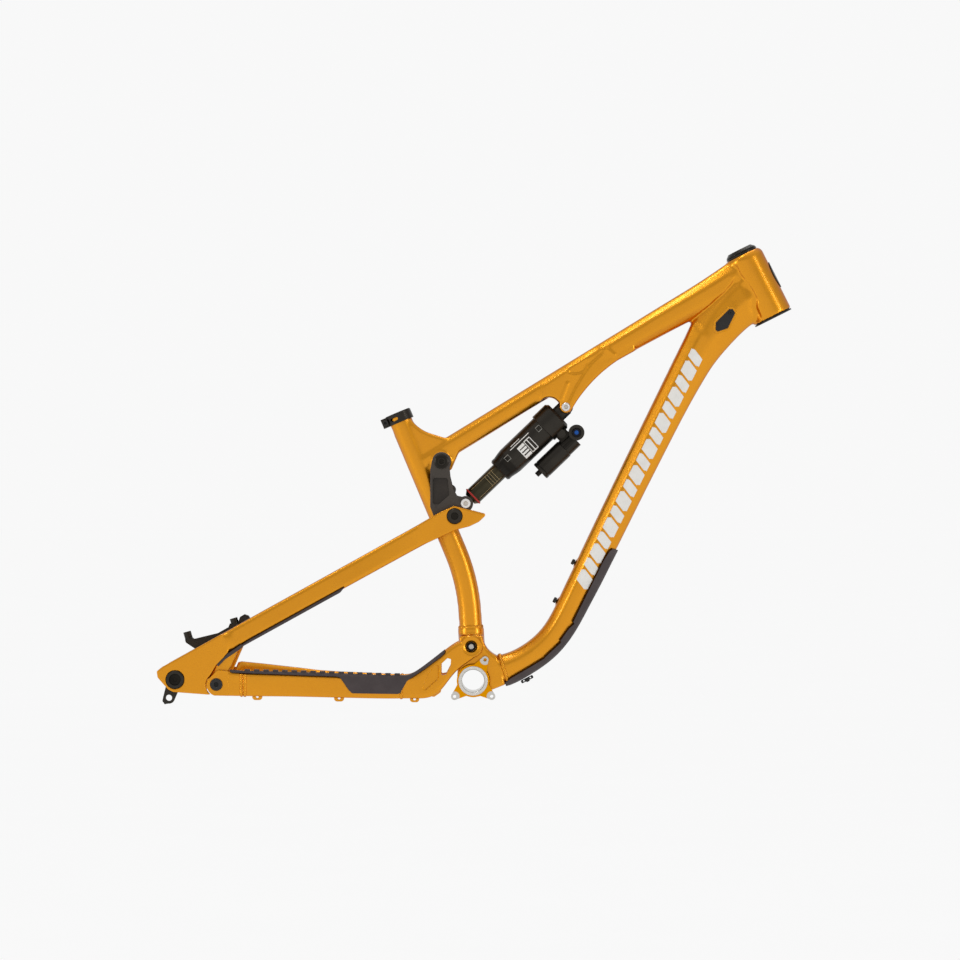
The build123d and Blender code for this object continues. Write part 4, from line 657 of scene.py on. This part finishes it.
# Pressed and welded forms of the front triangle, in millimetres in the side view.
HEAD_SEAM = (
    (392, 632),
    (400, 626),
    (406, 613),
    (416, 601),
    (424, 589),
    (430, 577),
    (430, 564),
    (436, 551),
    (440, 545),
)
HEAD_SCOOP = ((326, 544), (343, 558), (356, 568), (366, 578), (378, 588), (388, 600), (396, 613))
WEB_EDGE = ((139, 408), (145, 418), (155, 439), (169, 463), (180, 478), (193, 490), (201, 500))
POCKET_EDGE = (
    (142, 465),
    (151, 462.6),
    (159, 463),
    (167, 466.6),
    (172, 473.4),
    (174, 481),
    (171, 486),
)
BRACKET_RIB = ((132, 420), (144, 452))
TIP_RIDGE = ((201, 502), (209, 494), (216, 490))
relief(front_skin.data, HEAD_SCOOP, 3.6, 3.5, 48)
relief(front_skin.data, HEAD_SEAM, 2.4, 3.0, 18)
relief(front_skin.data, WEB_EDGE[::-1], 2.0, 3.5, 26)
relief(front_skin.data, POCKET_EDGE[::-1], 1.7, 1.6, 16)
relief(front_skin.data, BRACKET_RIB, 1.6, 2.4, 0, 0.1, True)
relief(front_skin.data, TIP_RIDGE, 2.0, 2.6, 0, 0.1, True)

# A step where each seatstay meets its dropout is eased, in millimetres in the side view.
STAY_STEP = ((-368, 53), (-366, 67))
STAY_STEP_ENDS = ((-367, 43), (-365.5, 78))
for stay_skin in (right_skin, left_skin):
    ease(stay_skin.data, STAY_STEP, 10, 200)
    ease(stay_skin.data, STAY_STEP_ENDS, 8, 24, True)


FRONT_BEAD_R = 0.0033
CHAINSTAY_BEAD_R = 0.0026


def bead_piece(name, loops, body, radius):
    """Weld beads as a piece of their own."""
    made = bmesh.new()
    for loop in loops:
        weld_bead(made, loop, radius)
    mesh = finished(made, name)
    shade_smooth(mesh)
    return new_object(name, mesh, GOLD, body)


front_weld_lines = []
for node, start, degrees in (
    ("seat_tube", SEAT_TAIL, SEAT_TAIL_DEGREES),
    ("down_tube", DOWN_START, DOWN_START_DEGREES),
):
    tube_direction = side_direction(degrees)
    front_weld_lines.append(section_loop(node, start, tube_direction))
bead_piece("front_welds", front_weld_lines, "front_triangle", FRONT_BEAD_R)

CHAINSTAY_WELDS = (-0.3415, -0.3465, -0.1080)
ALONG_X = Vector((1, 0, 0))
END_INSET = 0.0006


def stay_loop(node, x):
    """The outline of a chainstay at x, or the nearest x where it has one."""
    low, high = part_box(node)
    inside = min(max(x, low[0] + END_INSET), high[0] - END_INSET)
    shift = Vector((x - inside, 0, 0))
    return [point + shift for point in section_loop(node, Vector((inside, 0, 0)), ALONG_X)]


bead_piece(
    "chainstay_welds",
    [stay_loop(node, x) for node in ("chainstay_right", "chainstay_left") for x in CHAINSTAY_WELDS],
    "swingarm",
    CHAINSTAY_BEAD_R,
)

# The left chainstay's crown is taller than the right one's towards the rear: each station is the
# place along X and the height of its top.
CROWN = (
    (-0.3625, 0.0180),
    (-0.3600, 0.0238),
    (-0.3550, 0.0250),
    (-0.3430, 0.0238),
    (-0.3200, 0.0216),
    (-0.2950, 0.0188),
    (-0.2650, 0.0156),
    (-0.2350, 0.0120),
    (-0.2050, 0.0092),
)
CROWN_SIDES = 32
CROWN_WIDTH_SHARE = 0.985
crown = bmesh.new()
crown_rings = []
for crown_x, crown_top in CROWN:
    loop = stay_loop("chainstay_left", crown_x)
    middle = sum(loop, Vector()) / len(loop)
    by_angle = sorted(
        (math.atan2(point.z - middle.z, point.y - middle.y), point) for point in loop
    )
    angles = [angle for angle, _ in by_angle]
    ring = []
    for turn in range(CROWN_SIDES):
        angle = -math.pi + math.tau * (turn + 0.5) / CROWN_SIDES
        y = float(np.interp(angle, angles, [point.y for _, point in by_angle]))
        z = float(np.interp(angle, angles, [point.z for _, point in by_angle]))
        old_top = max(point.z for point in loop)
        if z > middle.z:
            stretch = (max(crown_top, old_top) - middle.z) / (old_top - middle.z)
            z = middle.z + (z - middle.z) * stretch
        y = middle.y + (y - middle.y) * CROWN_WIDTH_SHARE
        ring.append(crown.verts.new((crown_x, y, z)))
    crown_rings.append(ring)
for ring, following in zip(crown_rings, crown_rings[1:]):
    for turn in range(CROWN_SIDES):
        beside = (turn + 1) % CROWN_SIDES
        crown.faces.new((ring[turn], following[turn], following[beside], ring[beside]))
crown.faces.new(crown_rings[0])
crown.faces.new(crown_rings[-1][::-1])
bmesh.ops.recalc_face_normals(crown, faces=crown.faces)
CROWN_BEVEL = {"width": 0.002, "segments": 3, "angle_limit": 0.9}
crown_mesh = modified(finished(crown, "left_stay_crown"), [("BEVEL", CROWN_BEVEL)])
shade_smooth(crown_mesh)
new_object("left_stay_crown", crown_mesh, GOLD, "swingarm")

# ------------------------------------------------------------------ draped films
LIFT = 0.00018
FILM_THICKNESS = 0.00012
RAY_START = 0.2
BAR_CELL = 0.0009
MARK_CELL = 0.0005
BOTH_SIDES = (-1, 1)


def surface_of(piece):
    """A search tree over a piece's mesh, as it is shown."""
    depsgraph = bpy.context.evaluated_depsgraph_get()
    return BVHTree.FromObject(piece.evaluated_get(depsgraph), depsgraph)


def side_frame(origin, degrees):
    """Maps (distance along a line, height to its left) in the side view to X and Z."""
    along = side_direction(degrees)
    left = Vector((-along.z, 0, along.x))

    def place(distance, height):
        return origin + distance * along + height * left

    return place


def draped(target, surface, place, u_range, v_range, slant, cell, facing, kept=None):
    """Lays a grid of cells on a surface, seen from one side. slant shifts it along as it goes up."""
    columns = max(1, round((u_range[1] - u_range[0]) / cell))
    rows = max(1, round((v_range[1] - v_range[0]) / cell))
    verts = {}
    for i in range(columns + 1):
        for j in range(rows + 1):
            u = u_range[0] + (u_range[1] - u_range[0]) * i / columns
            v = v_range[0] + (v_range[1] - v_range[0]) * j / rows
            start = place(u + slant * v, v) + Vector((0, facing * RAY_START, 0))
            hit, normal, _, _ = surface.ray_cast(start, Vector((0, -facing, 0)))
            if hit is not None:
                verts[i, j] = target.verts.new(hit + normal * LIFT)
    for i in range(columns):
        for j in range(rows):
            corners = [(i, j), (i + 1, j), (i + 1, j + 1), (i, j + 1)]
            if kept and not kept((i + 0.5) / columns, (j + 0.5) / rows):
                continue
            if all(corner in verts for corner in corners):
                order = corners if facing < 0 else corners[::-1]
                target.faces.new([verts[corner] for corner in order])


def film_piece(name, target, material, body):
    """Turns draped cells into a thin film of its own."""
    loose = [vert for vert in target.verts if not vert.link_faces]
    bmesh.ops.delete(target, geom=loose, context="VERTS")
    mesh = finished(target, name)
    shade_smooth(mesh)
    piece = new_object(name, mesh, material, body)
    thick = piece.modifiers.new("thickness", "SOLIDIFY")
    thick.thickness = FILM_THICKNESS
    thick.offset = -1
    return piece


DOWN_ORIGIN = Vector((0.1362, 0, 0.0908))
DOWN_DEGREES = 63.5
SHOCK_ORIGIN = Vector((-0.0112, 0, 0.2674))
SHOCK_DEGREES = 43.89
BAR_REPEATS = 9
BAR_START = 0.0595
BAR_PITCH = 0.0440
BARS = ((0.0, 0.0215), (0.0250, 0.0405))
BAR_LOW = -0.0120
BAR_HIGH = 0.0100
BAR_SLANT = 0.49
CORNER_CUT = 0.22


def clipped(u, v):
    """A bar with two opposite corners cut off."""
    return u + v > CORNER_CUT and u + v < 2 - CORNER_CUT


down_place = side_frame(DOWN_ORIGIN, DOWN_DEGREES)
front_surface = surface_of(front_skin)
bars_film = bmesh.new()
for facing in BOTH_SIDES:
    for repeat in range(BAR_REPEATS):
        for bar_from, bar_to in BARS:
            start = BAR_START + repeat * BAR_PITCH
            draped(
                bars_film,
                front_surface,
                down_place,
                (start + bar_from, start + bar_to),
                (BAR_LOW, BAR_HIGH),
                BAR_SLANT,
                BAR_CELL,
                facing,
                clipped,
            )
film_piece("down_tube_bars", bars_film, WHITE_FILM, "front_triangle")

shock_place = side_frame(SHOCK_ORIGIN, SHOCK_DEGREES)
can_surface = surface_of(NODES["shock_air_can"])
damper_surface = surface_of(NODES["shock_damper"])
labels = bmesh.new()


def striped(u, v):
    """Four strips across, joined at one end."""
    return not (0.22 < v < 0.30 or 0.46 < v < 0.54 or 0.72 < v < 0.78) or u < 0.12


def framed(u, v):
    """A frame with a rung across its middle."""
    return u < 0.1 or u > 0.9 or v < 0.06 or v > 0.94 or 0.42 < u < 0.56


def hollow(u, v):
    """A square's outline."""
    return u < 0.09 or u > 0.91 or v < 0.09 or v > 0.91


# Each patch is its span along the shock, its span across, and the part of it that is kept.
LABEL_PATCHES = (
    ((0.113, 0.1258), (-0.015, 0.0062), striped),
    ((0.127, 0.139), (-0.015, 0.0068), framed),
    ((0.104, 0.1425), (0.0105, 0.0117), None),
    ((0.108, 0.126), (0.0140, 0.0150), None),
)
for facing in BOTH_SIDES:
    for along, across, kept in LABEL_PATCHES:
        draped(labels, can_surface, shock_place, along, across, 0.0, MARK_CELL, facing, kept)
film_piece("air_can_label", labels, WHITE_FILM, "shock_body")

SQUARE_CENTRES = (0.0930, 0.1580)
SQUARE_HALF = 0.004
SQUARE_ACROSS = (0.001, 0.0095)
squares = bmesh.new()
for facing in BOTH_SIDES:
    for centre in SQUARE_CENTRES:
        along = (centre - SQUARE_HALF, centre + SQUARE_HALF)
        draped(
            squares, can_surface, shock_place, along, SQUARE_ACROSS, 0.0, MARK_CELL, facing, hollow
        )
film_piece("air_can_marks", squares, DARK_FILM, "shock_body")

TICKS = (0.048, 0.0525, 0.057, 0.0615)
TICK_WIDTH = 0.0005
TICK_ACROSS = (-0.0095, 0.0095)
RAIL_ALONG = (0.020, 0.066)
RAILS_ACROSS = ((0.0086, 0.0090), (-0.0090, -0.0086))
SCALE_LINES = [((tick, tick + TICK_WIDTH), TICK_ACROSS) for tick in TICKS]
SCALE_LINES += [(RAIL_ALONG, across) for across in RAILS_ACROSS]
scale = bmesh.new()
for facing in BOTH_SIDES:
    for along, across in SCALE_LINES:
        draped(scale, damper_surface, shock_place, along, across, 0.0, MARK_CELL, facing)
film_piece("damper_scale", scale, GOLD_LINE, "shock_shaft")

# ------------------------------------------------------------------ floor, light
FLOOR_Z = -0.425
FLOOR_R = 70.0
FLOOR_SEGMENTS = 96
FLOOR_DARK = (0.02, 0.02, 0.02)
FLOOR_LIGHT = (0.03, 0.03, 0.03)
FLOOR_GLOW = 0.92
floor_form = bmesh.new()
bmesh.ops.create_circle(floor_form, cap_ends=True, segments=FLOOR_SEGMENTS, radius=FLOOR_R)
floor_mesh = finished(floor_form, "floor")
floor = bpy.data.objects.new("floor", floor_mesh)
floor.location.z = FLOOR_Z
bpy.context.scene.collection.objects.link(floor)
floor_graph = Graph("pale_floor")
floor_mesh.materials.append(
    floor_graph.set(
        Base_Color=floor_graph.mixed(floor_graph.noise(3.0), FLOOR_DARK, FLOOR_LIGHT),
        Roughness=1.0,
        Specular_IOR_Level=0.0,
        Emission_Color=(1.0, 1.0, 1.0),
        Emission_Strength=FLOOR_GLOW,
    )
)

# The sky is one pale tone near the horizon on every side, so no view shows a seam with the floor.
# Higher up it is bright behind the object and dimmer at the sides and in front. BEHIND, BAND and
# ZENITH_TOP are parts of the direction looked in: along Y, and up.
HORIZON = 0.94
FRONT = 0.52
ZENITH = 0.9
BEHIND = (0.35, 0.97)
BAND = (0.115, 0.25)
ZENITH_TOP = 0.95
world = bpy.data.worlds.new("studio")
world.use_nodes = True
sky = world.node_tree
direction = sky.nodes.new("ShaderNodeTexCoord").outputs["Generated"]
split_direction = sky.nodes.new("ShaderNodeSeparateXYZ")
sky.links.new(direction, split_direction.inputs[0])


def sky_range(source, from_low, from_high, to_low, to_high):
    node = sky.nodes.new("ShaderNodeMapRange")
    for socket, value in zip(node.inputs[1:5], (from_low, from_high, to_low, to_high)):
        if isinstance(value, float):
            socket.default_value = value
        else:
            sky.links.new(value, socket)
    sky.links.new(source, node.inputs["Value"])
    return node.outputs["Result"]


level = sky_range(split_direction.outputs["Y"], *BEHIND, FRONT, HORIZON)
band = sky_range(split_direction.outputs["Z"], *BAND, HORIZON, level)
height = sky_range(split_direction.outputs["Z"], BAND[1], ZENITH_TOP, band, ZENITH)
sky.nodes["Background"].inputs["Color"].default_value = (1.0, 1.0, 1.0, 1)
sky.links.new(height, sky.nodes["Background"].inputs["Strength"])
bpy.context.scene.world = world


LIGHT_AIM = Vector((0.0, 0.0, 0.3))


def area_light(name, location, size, power):
    """A long, soft light that aims at the middle of the object."""
    data = bpy.data.lights.new(name, "AREA")
    data.shape = "RECTANGLE"
    data.size, data.size_y = size
    data.energy = power
    light = bpy.data.objects.new(name, data)
    light.location = location
    aimed = LIGHT_AIM - Vector(location)
    light.rotation_euler = aimed.to_track_quat("-Z", "Y").to_euler()
    bpy.context.scene.collection.objects.link(light)


area_light("overhead", (-0.2, 0.2, 2.8), (3.0, 0.15), 16)
area_light("left_strip", (-4.0, -1.8, 1.0), (0.35, 2.6), 30)
area_light("right_strip", (3.8, -2.4, 1.0), (0.35, 2.6), 26)
